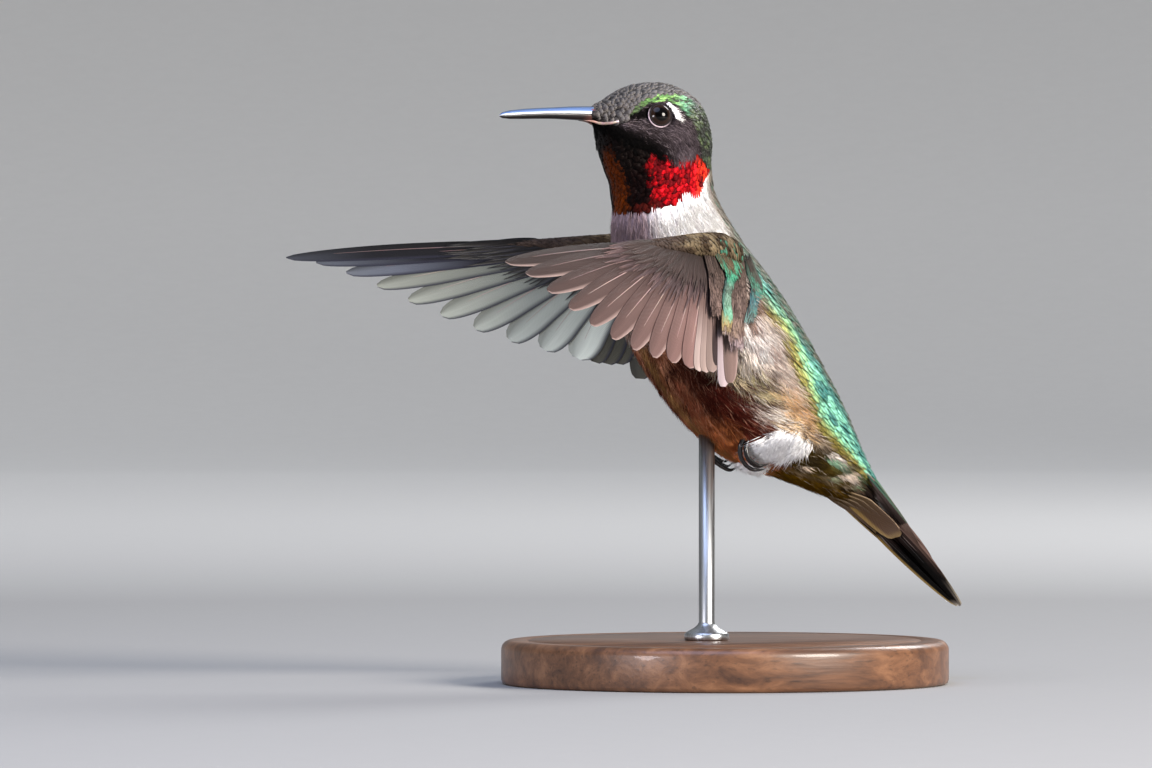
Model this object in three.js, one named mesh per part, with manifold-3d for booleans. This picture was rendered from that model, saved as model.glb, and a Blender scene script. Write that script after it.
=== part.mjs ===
// Ruby-throated hummingbird, adult male, life size, hovering on a plain display stand.
// Millimetres, +Z up. The bird faces -X, its left side is -Y, and the stand's underside is z = 0.
// Run with the npm packages three and manifold-3d.

import * as THREE from "three";
import { mergeVertices } from "three/addons/utils/BufferGeometryUtils.js";
import Module from "manifold-3d";

const wasm = await Module();
wasm.setup();

const { cos, sin, sqrt, abs, min, max, PI } = Math;
const { degToRad, lerp, smoothstep, clamp } = THREE.MathUtils;
const v3 = (x, y, z) => new THREE.Vector3(x, y, z);

// ---- driving dimensions ----

const GAP = 0.3; // between neighbouring pieces
const HEAD_TURN = degToRad(5); // the head looks a little to its left
const HEAD_CUT_Z = 64.6; // head above, neck below
const NECK_CUT_Z = 57.2; // neck above, torso below
const RUMP_CUT = { at: v3(12.2, 0, 28.6), drop: degToRad(63) }; // torso in front, rump behind
const TAIL_CUT = { at: v3(17.2, 0, 25.2), drop: degToRad(50) }; // rump in front, tail behind

const sideName = (side) => (side < 0 ? "left" : "right");
const BILL = { length: 14.0, depth: 2.0, width: 2.3, z: 71.2, rootX: -17.6 };
const EYE = { radius: 1.7, x: -12.7, y: 4.8, z: 70.85, turnForward: degToRad(16), lift: degToRad(12) };

const WING = {
  shoulder: v3(-4.3, 7.7, 55.6), // on the bird's right; the left is its mirror
  sweep: degToRad(63), // from straight out towards straight ahead
  pitch: { left: degToRad(10), right: degToRad(20) }, // the hind edge hangs this far outwards
  fan: { left: 1.42, right: 1.8 }, // a lower power spreads the primaries wider
  camber: 0.009,
};
const TAIL = { root: v3(16.8, 0, 25.6), drop: degToRad(43), length: 22.4 };

const STAND = { radius: 28, height: 5.5, rodX: -2.6, rodRadius: 1.0, ferrule: 2.8 };

// Stations of head, neck and trunk: middle of the section in x and z, lean of its dorsal side above
// straight back, half depth and half width.
const STATIONS = [
  { name: "bill base", x: -19.0, z: 71.1, lean: 90, depth: 1.0, width: 1.1 },
  { name: "lores", x: -17.5, z: 70.8, lean: 81, depth: 2.4, width: 2.7 },
  { name: "forehead", x: -15.9, z: 70.5, lean: 71, depth: 4.2, width: 4.4 },
  { name: "brow", x: -14.1, z: 70.2, lean: 60, depth: 5.8, width: 5.6 },
  { name: "crown", x: -12.1, z: 69.5, lean: 49, depth: 7.0, width: 6.3 },
  { name: "hindcrown", x: -10.3, z: 68.0, lean: 38, depth: 7.7, width: 6.7 },
  { name: "nape", x: -9.3, z: 65.5, lean: 27, depth: 7.35, width: 6.7 },
  { name: "gorget", x: -9.2, z: 63.0, lean: 20, depth: 6.8, width: 6.6 },
  { name: "collar", x: -8.8, z: 60.0, lean: 12, depth: 6.7, width: 6.6 },
  { name: "mantle", x: -7.1, z: 55.4, lean: 6, depth: 8.2, width: 7.9 },
  { name: "breast", x: -4.4, z: 48.7, lean: 14, depth: 10.2, width: 9.3 },
  { name: "keel", x: -0.2, z: 42.0, lean: 18, depth: 10.6, width: 9.5 },
  { name: "belly", x: 4.7, z: 35.5, lean: 22, depth: 9.9, width: 8.7 },
  { name: "thigh", x: 9.3, z: 30.8, lean: 24, depth: 8.3, width: 7.3 },
  { name: "vent", x: 14.1, z: 27.5, lean: 28, depth: 5.6, width: 5.2 },
  { name: "tail root", x: 18.2, z: 24.5, lean: 36, depth: 3.4, width: 4.0 },
  { name: "tail core", x: 22.0, z: 21.0, lean: 44, depth: 1.7, width: 3.1 },
  { name: "core's end", x: 25.0, z: 18.1, lean: 46, depth: 0.5, width: 2.3 },
];

// ---- solids from rings of points ----

function signedVolume(p, index) {
  let sum = 0;
  const a = v3(), b = v3(), c = v3();
  for (let i = 0; i < index.length; i += 3) {
    a.fromBufferAttribute(p, index[i]);
    b.fromBufferAttribute(p, index[i + 1]);
    c.fromBufferAttribute(p, index[i + 2]);
    sum += a.dot(b.cross(c));
  }
  return sum;
}

// A closed geometry as a manifold-3d solid that faces outwards.
function solidOf(geometry) {
  const bare = geometry.clone();
  bare.deleteAttribute("normal");
  bare.deleteAttribute("uv");
  const merged = mergeVertices(bare, 1e-4);
  const triVerts = new Uint32Array(merged.index.array);
  if (signedVolume(merged.attributes.position, triVerts) < 0) triVerts.reverse();
  const vertProperties = new Float32Array(merged.attributes.position.array);
  return new wasm.Manifold(new wasm.Mesh({ numProp: 3, vertProperties, triVerts }));
}

// Joins rings of equally many points into a closed body, each end closed by a fan to its middle.
// With alike, quads in the second half of each ring are split the other way, so that the two faces
// of a thin vane have triangles alike.
function loft(rings, alike = false) {
  const around = rings[0].length;
  const points = rings.flat();
  const index = [];
  const at = (ring, k) => ring * around + (k % around);
  for (let i = 0; i + 1 < rings.length; i++) {
    for (let k = 0; k < around; k++) {
      const [a, b, c, d] = [at(i, k), at(i, k + 1), at(i + 1, k + 1), at(i + 1, k)];
      if (alike && k >= around / 2) index.push(a, b, d, b, c, d);
      else index.push(a, b, c, a, c, d);
    }
  }
  for (const [ring, turned] of [[0, true], [rings.length - 1, false]]) {
    const middle = rings[ring].reduce((m, p) => m.addScaledVector(p, 1 / around), v3());
    const hub = points.push(middle) - 1;
    for (let k = 0; k < around; k++) {
      const [a, b] = [at(ring, k), at(ring, k + 1)];
      index.push(hub, ...(turned ? [b, a] : [a, b]));
    }
  }
  const geometry = new THREE.BufferGeometry().setFromPoints(points);
  geometry.setIndex(index);
  return solidOf(geometry);
}

const ring = (count, place) => Array.from({ length: count }, (_, k) => place((k / count) * 2 * PI));
const steps = (count, place) => Array.from({ length: count + 1 }, (_, i) => place(i / count));
const joined = (solids) => wasm.Manifold.union(solids);

// The largest closed surface of a solid, without sealed hollows and loose scraps.
function largest(solid) {
  return solid.decompose().reduce((a, b) => (b.volume() > a.volume() ? b : a));
}

// A round tube along a smooth curve through points, its radius read from radii along the way.
function tube(points, radii, sides = 8, count = 10) {
  const curve = new THREE.CatmullRomCurve3(points);
  const frames = curve.computeFrenetFrames(count, false);
  const radius = (t) => {
    const f = t * (radii.length - 1);
    const i = min(Math.floor(f), radii.length - 2);
    return lerp(radii[i], radii[i + 1], f - i);
  };
  return loft(steps(count, (t) => {
    const i = Math.round(t * count);
    const middle = curve.getPointAt(t);
    return ring(sides, (turn) => middle.clone()
      .addScaledVector(frames.normals[i], radius(t) * cos(turn))
      .addScaledVector(frames.binormals[i], radius(t) * sin(turn)));
  }));
}

// ---- head, neck and trunk ----

const middles = new THREE.CatmullRomCurve3(STATIONS.map((s) => v3(s.x, s.lean, s.z)), false, "catmullrom", 0.5);
const halves = new THREE.CatmullRomCurve3(STATIONS.map((s) => v3(s.depth, s.width, 0)), false, "catmullrom", 0.5);

// The flesh in one piece, grown outwards by grow.
function trunk(grow = 0, around = 30, along = 54) {
  return loft(steps(along, (t) => {
    const m = middles.getPoint(t);
    const h = halves.getPoint(t);
    const lean = degToRad(m.y);
    const slide = grow * (t === 0 ? -1 : t === 1 ? 1 : 0); // the ends grow along the body
    return ring(around, (turn) => {
      const back = (h.x + grow) * cos(turn);
      return v3(
        m.x + back * cos(lean) + slide,
        (h.y + grow) * sin(turn),
        m.z + back * sin(lean) - (t === 1 ? slide : 0),
      );
    });
  }));
}

const body = trunk();
const bodyGrown = trunk(GAP);
const above = (solid, z) => solid.trimByPlane([0, 0, 1], z);
const below = (solid, z) => solid.trimByPlane([0, 0, -1], -z);

// What belongs to the head turns about the upright line through the neck.
const headGroup = new THREE.Group();
headGroup.position.set(-9.2, 0, 0);
headGroup.rotation.z = HEAD_TURN;
const inHead = (solid) => solid.translate([9.2, 0, 0]);

function eyeMatrix(side) {
  const out = v3(-sin(EYE.turnForward) * cos(EYE.lift), side * cos(EYE.turnForward) * cos(EYE.lift), sin(EYE.lift));
  const turn = new THREE.Quaternion().setFromUnitVectors(v3(0, 0, 1), out);
  return new THREE.Matrix4().compose(v3(EYE.x, side * EYE.y, EYE.z), turn, v3(1, 1, 1));
}

function eyeball(side, grow = 0) {
  return solidOf(new THREE.SphereGeometry(EYE.radius + grow, 16, 10).applyMatrix4(eyeMatrix(side)));
}

// Lids: a ring round the eye, higher at the brow.
function lids(side) {
  const lidRadius = EYE.radius * 0.92;
  const thick = 0.35;
  const g = new THREE.TorusGeometry(lidRadius, thick, 6, 18).translate(0, 0, EYE.radius * 0.58);
  return solidOf(g.applyMatrix4(eyeMatrix(side)));
}

// Edge of the gape: a low ridge on each side from the bill's base to the mouth's corner.
function gapeRidge(side) {
  const drop = [71.0, 70.6, 70.45];
  return tube(
    [v3(-18.6, side * 1.25, drop[0]), v3(-17.4, side * 2.5, drop[1]), v3(-16.3, side * 3.6, drop[2])],
    [0.22, 0.34, 0.12], 6, 6,
  );
}

// The line of the mouth: a narrow groove above the gape's edge.
function mouthLine(side) {
  return tube(
    [v3(-19.2, side * 1.35, 71.45), v3(-17.5, side * 2.8, 71.05), v3(-16.3, side * 3.95, 70.85)],
    [0.14, 0.16, 0.1], 6, 5,
  );
}

function billSolid(upper, grow = 0) {
  const tipX = -19.0 - BILL.length;
  return loft(steps(14, (t) => {
    const x = lerp(BILL.rootX + 2, tipX, t) - (t === 1 ? grow : 0);
    const bare = clamp((BILL.rootX + 2 - x) / (BILL.rootX + 2 - tipX), 0, 1);
    const taper = sqrt(max(0, 1 - bare ** 6));
    const nearHead = smoothstep(bare, 0.0, 0.45);
    const depth = lerp(BILL.depth / 2 + 0.15, BILL.depth * 0.33, nearHead) * (0.12 + 0.88 * taper);
    const width = lerp(BILL.width / 2 + 0.2, BILL.width * 0.3, nearHead) * (0.12 + 0.88 * taper);
    const line = BILL.z - 0.25 + 0.25 * sin(PI * bare); // the edge where the halves of the bill meet
    return ring(12, (turn) => {
      const up = sin(turn);
      const z = upper ? max(up, -0.04) * depth * 1.15 + GAP / 3 : min(up, 0.04) * depth * 0.9 - GAP / 3;
      return v3(x, (width + grow) * cos(turn), line + z + grow * up);
    });
  }));
}

function nostril(side) {
  return tube([v3(-20.4, side * 0.86, 71.85), v3(-18.6, side * 1.2, 71.6)], [0.16, 0.2], 6, 4);
}

function headSolid() {
  const flesh = above(body, HEAD_CUT_Z + GAP / 2);
  const raised = joined([flesh, lids(1), lids(-1), gapeRidge(1), gapeRidge(-1)]);
  const cut = joined([
    eyeball(1, GAP * 0.5), eyeball(-1, GAP * 0.5), mouthLine(1), mouthLine(-1),
  ]);
  return largest(raised.subtract(cut));
}

// ---- feathers ----

// Width of a vane along its length, as a share of its full width.
function vaneWidth(t, fullAt, taperFrom, tipShare) {
  if (t < fullAt) return lerp(0.16, 1, smoothstep(t, 0, fullAt));
  if (t < taperFrom) return 1;
  const f = (t - taperFrom) / (1 - taperFrom);
  return lerp(tipShare, 1, sqrt(max(0, 1 - f * f)));
}

// A flat feather in a plane: shaft from root at an angle, its outer and inner webs tilted like a
// slat, 0.5 mm thick and thinner at the edges and the tip. place turns plane places into space.
function vane(place, f) {
  const { root, angle, length, bend = 0, outer, inner, tilt = 0, lift = 0, rise = 0 } = f;
  const { thick = 0.5, fullAt = 0.35, taperFrom = 0.68, tipShare = 0.12, sections = 7 } = f;
  const corners = [[-1, 0.6], [0, 1.1], [1, 0.6], [1, -0.6], [0, -1.1], [-1, -0.6]];
  return loft(steps(sections, (t) => {
    const heading = angle + bend * t;
    const mid = angle + bend * t * 0.5;
    const s = root[0] + length * t * cos(mid);
    const c = root[1] + length * t * sin(mid);
    const share = vaneWidth(t, fullAt, taperFrom, tipShare);
    const half = (thick / 2) * lerp(1, 0.35, smoothstep(t, 0.85, 1));
    return corners.map(([q, up]) => {
      const across = q < 0 ? -outer * share : q * inner * share;
      const h = lift + rise * t - tilt * across + up * half;
      return place(s - across * sin(heading), c + across * cos(heading), h);
    });
  }), true);
}

// ---- wings ----

// Place of a wing point: s along the span, c behind the leading edge, h towards the upper side.
function wingPlace(side) {
  const pitch = WING.pitch[sideName(side)];
  const along = v3(-sin(WING.sweep), side * cos(WING.sweep), 0);
  const out = v3(cos(WING.sweep), side * sin(WING.sweep), 0);
  const down = v3(0, 0, -cos(pitch)).addScaledVector(out, sin(pitch));
  const upper = out.clone().multiplyScalar(cos(pitch)).add(v3(0, 0, sin(pitch)));
  const shoulder = WING.shoulder.clone().multiply(v3(1, side, 1));
  return (s, c, h) => shoulder.clone()
    .addScaledVector(along, s)
    .addScaledVector(down, c)
    .addScaledVector(upper, h - WING.camber * (c - 6) ** 2);
}

// Flight feathers in the wing's plane: ten primaries that fan from the hand, outermost last, and
// six secondaries from the forearm.
function primary(j, fan) {
  const f = (j - 1) / 9; // 0 at the innermost, 1 at the outermost
  return {
    root: [lerp(4.6, 15, f), lerp(2.0, 0.75, f)],
    angle: degToRad(0.2 + 61.5 * (1 - f) ** fan),
    length: 13.8 + 18.8 * f ** 1.25 + 1.3 * (1 - f) ** 4,
    bend: degToRad(lerp(6, 5.5, f)),
    outer: lerp(1.8, 0.75, f),
    inner: lerp(2.5, 1.5, f),
    tilt: 0.22,
    sections: 5,
    tipShare: lerp(0.3, 0.06, f),
    taperFrom: lerp(0.8, 0.55, f),
  };
}

function secondary(k) {
  const f = (k - 1) / 5; // 0 beside the primaries, 1 beside the body
  return {
    root: [lerp(3.9, 1.3, f), 2.2],
    angle: degToRad(lerp(69, 87, f)),
    length: k > 4 ? 15.9 : 14.5, // the two beside the body reach further down
    bend: degToRad(4),
    outer: 1.4,
    inner: 1.9,
    tilt: 0.3,
    sections: 4,
    tipShare: 0.35,
    taperFrom: 0.75,
  };
}

// A covert covers a share of its flight feather, above it or, with lift below 0, under it.
function covert(flight, share, lift) {
  return {
    ...flight,
    length: flight.length * share,
    outer: flight.outer * 0.95,
    inner: flight.inner * 0.8,
    tilt: flight.tilt * 0.7,
    lift: lift * 0.5,
    rise: lift * 0.5,
    tipShare: 0.4,
    taperFrom: 0.6,
    fullAt: 0.4,
    sections: 3,
  };
}

// Arm and hand: a flattened fleshy rod along the leading edge, thick at the shoulder.
function armSolid(place) {
  const stations = [[-1.8, 2.9, 2.0, 1.9], [0.5, 2.7, 2.4, 2.0], [4, 2.2, 2.1, 1.6], [9, 1.6, 1.5, 1.0],
    [15, 0.95, 0.9, 0.6], [21, 0.7, 0.45, 0.35]];
  const curve = new THREE.CatmullRomCurve3(stations.map(([s, c, a]) => v3(s, c, a)));
  const thick = new THREE.CatmullRomCurve3(stations.map(([, , , b]) => v3(b, 0, 0)));
  return loft(steps(10, (t) => {
    const m = curve.getPoint(t);
    const b = thick.getPoint(t).x;
    return ring(10, (turn) => place(m.x, m.y + m.z * cos(turn), b * sin(turn)));
  }));
}

function wingSolid(side) {
  const place = wingPlace(side);
  const flights = [
    ...Array.from({ length: 10 }, (_, i) => primary(i + 1, WING.fan[sideName(side)])),
    ...Array.from({ length: 6 }, (_, i) => secondary(i + 1)),
  ];
  const pieces = [armSolid(place)];
  flights.forEach((f, i) => {
    const share = i < 10 ? lerp(0.42, 0.34, i / 9) : 0.45;
    pieces.push(vane(place, f));
    if (i < 10 || i % 2 === 1) pieces.push(vane(place, covert(f, share, lerp(1.2, 0.8, i / 15))));
    if (i % 4 === 1) pieces.push(vane(place, covert(f, share * 0.8, -1.2)));
  });
  return largest(joined(pieces).subtract(bodyGrown));
}

// ---- tail ----

// Place of a tail point: s along the tail, c towards the bird's right, h towards its back.
function tailPlace() {
  const along = v3(cos(TAIL.drop), 0, -sin(TAIL.drop));
  const back = v3(sin(TAIL.drop), 0, cos(TAIL.drop));
  return (s, c, h) => TAIL.root.clone()
    .addScaledVector(along, s)
    .addScaledVector(back, h)
    .add(v3(0, c, 0));
}

// Tail feather i of 5 on one side: the middle pair is the shortest and lies on top, the outermost
// is the longest, narrow and pointed, and lies lowest.
function rectrix(i, side) {
  const f = (i - 1) / 4;
  const onTop = i === 1 && side < 0 ? 0.65 : 0; // the middle pair crosses, left over right
  return {
    root: [1.5 + 2 * f, side * lerp(0.9, 2.0, f)],
    angle: side * degToRad(lerp(2.5, 5, f)),
    length: (TAIL.length - 1.5) * lerp(0.7, 1.05, f ** 0.7) - 2 * f,
    bend: side * degToRad(lerp(-5, -20, f)),
    outer: side * lerp(1.2, 1.1, f),
    inner: side * lerp(1.7, 2.1, f),
    lift: lerp(1.2, -0.6, f) + onTop,
    rise: lerp(-0.9, 0.1, f),
    thick: 0.5,
    taperFrom: lerp(0.6, 0.45, f),
    tipShare: 0.08,
    fullAt: 0.3,
    sections: 6,
  };
}

// Coverts over and under the tail's base, i from the middle outwards.
function tailCovert(i, side, upper) {
  const f = i / 2;
  const sign = upper ? 1 : -1;
  return {
    root: [0, side * lerp(0.5, 2.3, f)],
    angle: side * degToRad(lerp(2, 5, f)),
    length: upper ? lerp(11.5, 9, f) : lerp(7, 9.8, f),
    bend: side * degToRad(-8),
    outer: side * lerp(1.3, 1.6, f),
    inner: side * lerp(1.4, 3.2, f),
    lift: sign * lerp(3.1, 1.9, f),
    rise: -sign * lerp(1.9, 0.7, f),
    tilt: sign * side * lerp(0.12, 0.38, f),
    tipShare: 0.4,
    taperFrom: 0.6,
    sections: 4,
  };
}

function tailSolid() {
  const place = tailPlace();
  const pieces = [];
  for (const side of [-1, 1]) {
    for (let i = 1; i <= 5; i++) pieces.push(vane(place, rectrix(i, side)));
    for (let i = 0; i < 2; i++) pieces.push(vane(place, tailCovert(i, side, true)));
    for (let i = 0; i < 3; i++) pieces.push(vane(place, tailCovert(i, side, false)));
  }
  return joined(pieces);
}

// ---- legs ----

function footSolid(side) {
  const y = side * 4.7;
  const ankle = v3(0.4, y, 30.0);
  const pieces = [tube([v3(1.0, y, 32.5), v3(0.6, y, 31.2), ankle], [0.8, 0.65, 0.5], 7, 4)];
  // the toes curl forwards and down, then back under the belly
  for (const [i, spread] of [-0.7, 0, 0.7].entries()) {
    const out = y + side * spread;
    const rise = 0.55 * i;
    const toe = [
      v3(0.3 + rise, y, 30.2),
      v3(rise - 0.6, out, 29.4),
      v3(rise - 0.4, out, 28.2 + 0.2 * rise),
      v3(rise + 0.8, out, 27.1 + 0.7 * rise),
      v3(3.4, out, 27.1 + 0.7 * rise),
    ];
    pieces.push(tube(toe, [0.5, 0.42, 0.38, 0.32, 0.08], 5, 8));
  }
  return joined(pieces);
}

// ---- stand ----

function standBase() {
  const { radius: r, height: h } = STAND;
  const edge = 1.2;
  const outline = [[0, 0], [r - edge / 2, 0], [r, edge / 2], [r, h - edge], [r - edge, h], [0, h]];
  return solidOf(new THREE.LatheGeometry(outline.map(([x, y]) => new THREE.Vector2(x, y)), 36).rotateX(PI / 2));
}

function standRod() {
  const bottom = STAND.height + GAP;
  const top = 40;
  const { rodRadius: r, ferrule } = STAND;
  const outline = [[0, 0], [ferrule, 0], [ferrule, 0.8], [ferrule - 0.9, 1.6], [r, 1.9], [r, top - bottom], [0, top - bottom]];
  const rod = solidOf(new THREE.LatheGeometry(outline.map(([x, y]) => new THREE.Vector2(x, y)), 16).rotateX(PI / 2));
  return largest(rod.translate([STAND.rodX, 0, bottom]).subtract(bodyGrown));
}

// ---- the object ----

const finish = (color, roughness = 0.6, metalness = 0) => new THREE.MeshStandardMaterial({ color, roughness, metalness });
const FINISHES = {
  crown: finish("#3d4a34"),
  gorget: finish("#a3101c", 0.35, 0.4),
  belly: finish("#a39684", 0.8),
  rump: finish("#4c6b3f", 0.5),
  flight: finish("#5d5358", 0.55),
  tail: finish("#2a2226", 0.5),
  bill: finish("#23262c", 0.3),
  eye: finish("#0b0808", 0.05),
  foot: finish("#1d1816", 0.45),
  wood: finish("#4a2f1d", 0.45),
  steel: finish("#b8bbbe", 0.3, 1),
};

function geometryOf(solid) {
  const { numProp, vertProperties, triVerts } = solid.getMesh();
  const count = vertProperties.length / numProp;
  const places = new Float32Array(count * 3);
  for (let i = 0; i < count; i++) {
    places.set(vertProperties.subarray(i * numProp, i * numProp + 3), i * 3);
  }
  const geometry = new THREE.BufferGeometry();
  geometry.setAttribute("position", new THREE.BufferAttribute(places, 3));
  geometry.setIndex(new THREE.BufferAttribute(triVerts, 1));
  geometry.computeVertexNormals();
  return geometry;
}

const hummingbird = new THREE.Group();
function add(group, name, solid, material) {
  const mesh = new THREE.Mesh(geometryOf(solid), material);
  mesh.name = name;
  group.add(mesh);
}

hummingbird.add(headGroup);
const head = headSolid();
const headClear = joined([above(bodyGrown, HEAD_CUT_Z - 2)]);
add(headGroup, "head", inHead(head), FINISHES.crown);
for (const [name, side] of [["left", -1], ["right", 1]]) {
  add(headGroup, "eye_" + name, inHead(eyeball(side)), FINISHES.eye);
}
const nostrils = joined([nostril(1), nostril(-1)]);
add(headGroup, "bill_upper", inHead(largest(billSolid(true).subtract(headClear).subtract(nostrils))), FINISHES.bill);
add(headGroup, "bill_lower", inHead(largest(billSolid(false).subtract(headClear))), FINISHES.bill);

// Keeps what lies behind a cut (towards the tail) or in front of it, half a gap back from it.
function cutOff(solid, cut, behind) {
  const sign = behind ? 1 : -1;
  const normal = [sign * cos(cut.drop), 0, -sign * sin(cut.drop)];
  return solid.trimByPlane(normal, normal[0] * cut.at.x + normal[2] * cut.at.z + GAP / 2);
}

const neck = below(above(body, NECK_CUT_Z + GAP / 2), HEAD_CUT_Z - GAP / 2);
const trunkBelow = below(body, NECK_CUT_Z - GAP / 2);
const torso = cutOff(trunkBelow, RUMP_CUT, false);
const rump = cutOff(cutOff(trunkBelow, RUMP_CUT, true), TAIL_CUT, false);
const tail = cutOff(joined([trunk(0, 14, 34), tailSolid()]), TAIL_CUT, true);
add(hummingbird, "neck", neck, FINISHES.gorget);
add(hummingbird, "torso", torso, FINISHES.belly);
add(hummingbird, "rump", rump, FINISHES.rump);
add(hummingbird, "tail", largest(tail), FINISHES.tail);

for (const [name, side] of [["left", -1], ["right", 1]]) {
  add(hummingbird, "wing_" + name, wingSolid(side), FINISHES.flight);
  add(hummingbird, "foot_" + name, largest(footSolid(side).subtract(bodyGrown)), FINISHES.foot);
}

add(hummingbird, "stand_base", standBase(), FINISHES.wood);
add(hummingbird, "stand_rod", standRod(), FINISHES.steel);

export default hummingbird;
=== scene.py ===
import math

import bmesh
import bpy
import numpy as np
from mathutils import Matrix, Vector


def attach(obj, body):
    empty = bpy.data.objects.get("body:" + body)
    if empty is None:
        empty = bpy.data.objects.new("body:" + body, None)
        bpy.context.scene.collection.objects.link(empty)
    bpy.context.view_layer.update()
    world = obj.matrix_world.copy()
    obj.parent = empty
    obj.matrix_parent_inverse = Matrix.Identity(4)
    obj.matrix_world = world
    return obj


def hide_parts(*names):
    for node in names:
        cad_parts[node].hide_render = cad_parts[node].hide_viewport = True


# Ruby-throated hummingbird, adult male, hovering on a display stand. Sizes here are in millimetres
# and become metres when a mesh is made. The bird faces -X, its left is -Y, +Z is up.
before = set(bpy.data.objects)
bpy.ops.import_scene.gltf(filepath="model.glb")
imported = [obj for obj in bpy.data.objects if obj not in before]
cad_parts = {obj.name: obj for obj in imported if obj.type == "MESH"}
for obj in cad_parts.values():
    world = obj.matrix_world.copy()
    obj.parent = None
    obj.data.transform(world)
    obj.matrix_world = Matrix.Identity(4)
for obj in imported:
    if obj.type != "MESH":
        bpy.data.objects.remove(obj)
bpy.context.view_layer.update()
mm = 0.001
rng = np.random.default_rng(31)
print("frame loaded:", len(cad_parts), "nodes")


# colours, nodes and materials

def linear(hexColour):
    # sRGB hex to linear light
    parts = [int(hexColour[i:i + 2], 16) / 255 for i in (1, 3, 5)]
    return np.array([c / 12.92 if c <= 0.04045 else ((c + 0.055) / 1.055) ** 2.4 for c in parts])


def rgba(hexColour):
    return (*linear(hexColour), 1.0)


def addNode(tree, kind, settings=None, links=None):
    # settings: properties by name, input values by socket name or number; links: input -> output socket
    node = tree.nodes.new(kind)
    for key, value in (settings or {}).items():
        if isinstance(key, str) and hasattr(node, key):
            setattr(node, key, value)
        else:
            node.inputs[key].default_value = value
    for key, socket in (links or {}).items():
        tree.links.new(socket, node.inputs[key])
    return node


def newMaterial(name, settings):
    material = bpy.data.materials.new(name)
    material.use_nodes = True
    tree = material.node_tree
    shader = tree.nodes["Principled BSDF"]
    for key, value in settings.items():
        shader.inputs[key].default_value = value
    return material, tree, shader


def colourRamp(tree, factor, stops):
    ramp = addNode(tree, "ShaderNodeValToRGB", links={"Fac": factor})
    elements = ramp.color_ramp.elements
    while len(elements) < len(stops):
        elements.new(0.5)
    for element, (position, hexColour) in zip(elements, stops):
        element.position = position
        element.color = rgba(hexColour)
    return ramp.outputs["Color"]


def maths(tree, operation, a, b=0.0):
    node = addNode(tree, "ShaderNodeMath", {"operation": operation})
    for socket, value in zip(node.inputs, (a, b)):
        if isinstance(value, (int, float)):
            socket.default_value = value
        else:
            tree.links.new(value, socket)
    return node.outputs["Value"]


def scaled(tree, value, gain, offset):
    return maths(tree, "ADD", maths(tree, "MULTIPLY", value, gain), offset)


def ranged(tree, value, settings):
    return addNode(tree, "ShaderNodeMapRange", settings, {"Value": value}).outputs["Result"]


def mixColour(tree, blend, factor, a, b):
    node = addNode(tree, "ShaderNodeMix", {"data_type": "RGBA", "blend_type": blend})
    for number, value in ((0, factor), (6, a), (7, b)):
        if hasattr(value, "is_linked"):
            tree.links.new(value, node.inputs[number])
        else:
            node.inputs[number].default_value = rgba(value) if isinstance(value, str) else value
    return node.outputs[2]


def tinted(tree, colour, tone, share=1.0):
    return mixColour(tree, "MULTIPLY", share, colour, tone)


def ownColour(tree, name="plume"):
    return addNode(tree, "ShaderNodeAttribute", {"attribute_name": name}).outputs["Color"]


def ownAxes(tree):
    # the piece's own UV, and its parts: across in X, along in Y
    vane = addNode(tree, "ShaderNodeUVMap", {"uv_map": "vane"}).outputs["UV"]
    return vane, addNode(tree, "ShaderNodeSeparateXYZ", links={0: vane}).outputs


def ownSpot(tree, stretch=None):
    # object coordinates in metres, times the stretch in x, y and z
    spot = addNode(tree, "ShaderNodeTexCoord").outputs["Object"]
    if stretch:
        spot = addNode(tree, "ShaderNodeMapping", {"Scale": stretch}, {"Vector": spot}).outputs["Vector"]
    return spot


def speckle(tree, scale, detail=2.0, stretch=None, more=None):
    settings = {"Scale": scale, "Detail": detail, **(more or {})}
    return addNode(tree, "ShaderNodeTexNoise", settings, {"Vector": ownSpot(tree, stretch)}).outputs


def finish(tree, shader, colour, height=None, strength=0.0, depth=0.05):
    # the colour, and a bump of this depth in mm
    tree.links.new(colour, shader.inputs["Base Color"])
    if height is not None:
        bump = addNode(tree, "ShaderNodeBump", {"Strength": strength, "Distance": depth * mm},
                       {"Height": height})
        tree.links.new(bump.outputs["Normal"], shader.inputs["Normal"])


# meshes

def templateOf(bm):
    points = np.array([v.co for v in bm.verts])
    bm.verts.index_update()
    faces = [[v.index for v in f.verts] for f in bm.faces]
    bm.free()
    return points, faces


def sheetTemplate(across, along, closed=False):
    # x is across from -1 to 1, y along from 0 to 1; closed makes a leaf of two sheets that share their
    # border, z up from -1 to 1
    bm = bmesh.new()
    bmesh.ops.create_grid(bm, x_segments=across, y_segments=along, size=1)
    if closed:
        border = {v.index for v in bm.verts if v.is_boundary}
        top = bm.verts[:]
        copied = bmesh.ops.duplicate(bm, geom=bm.verts[:] + bm.edges[:] + bm.faces[:])["geom"]
        bmesh.ops.reverse_faces(bm, faces=[g for g in copied if isinstance(g, bmesh.types.BMFace)])
        for v in top:
            if v.index not in border:
                v.co.z = 1
        for v in copied:
            if isinstance(v, bmesh.types.BMVert) and not v.is_boundary:
                v.co.z = -1
        bmesh.ops.remove_doubles(bm, verts=bm.verts[:], dist=1e-4)
    points, faces = templateOf(bm)
    points[:, 1] = (points[:, 1] + 1) / 2
    return points, faces


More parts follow.
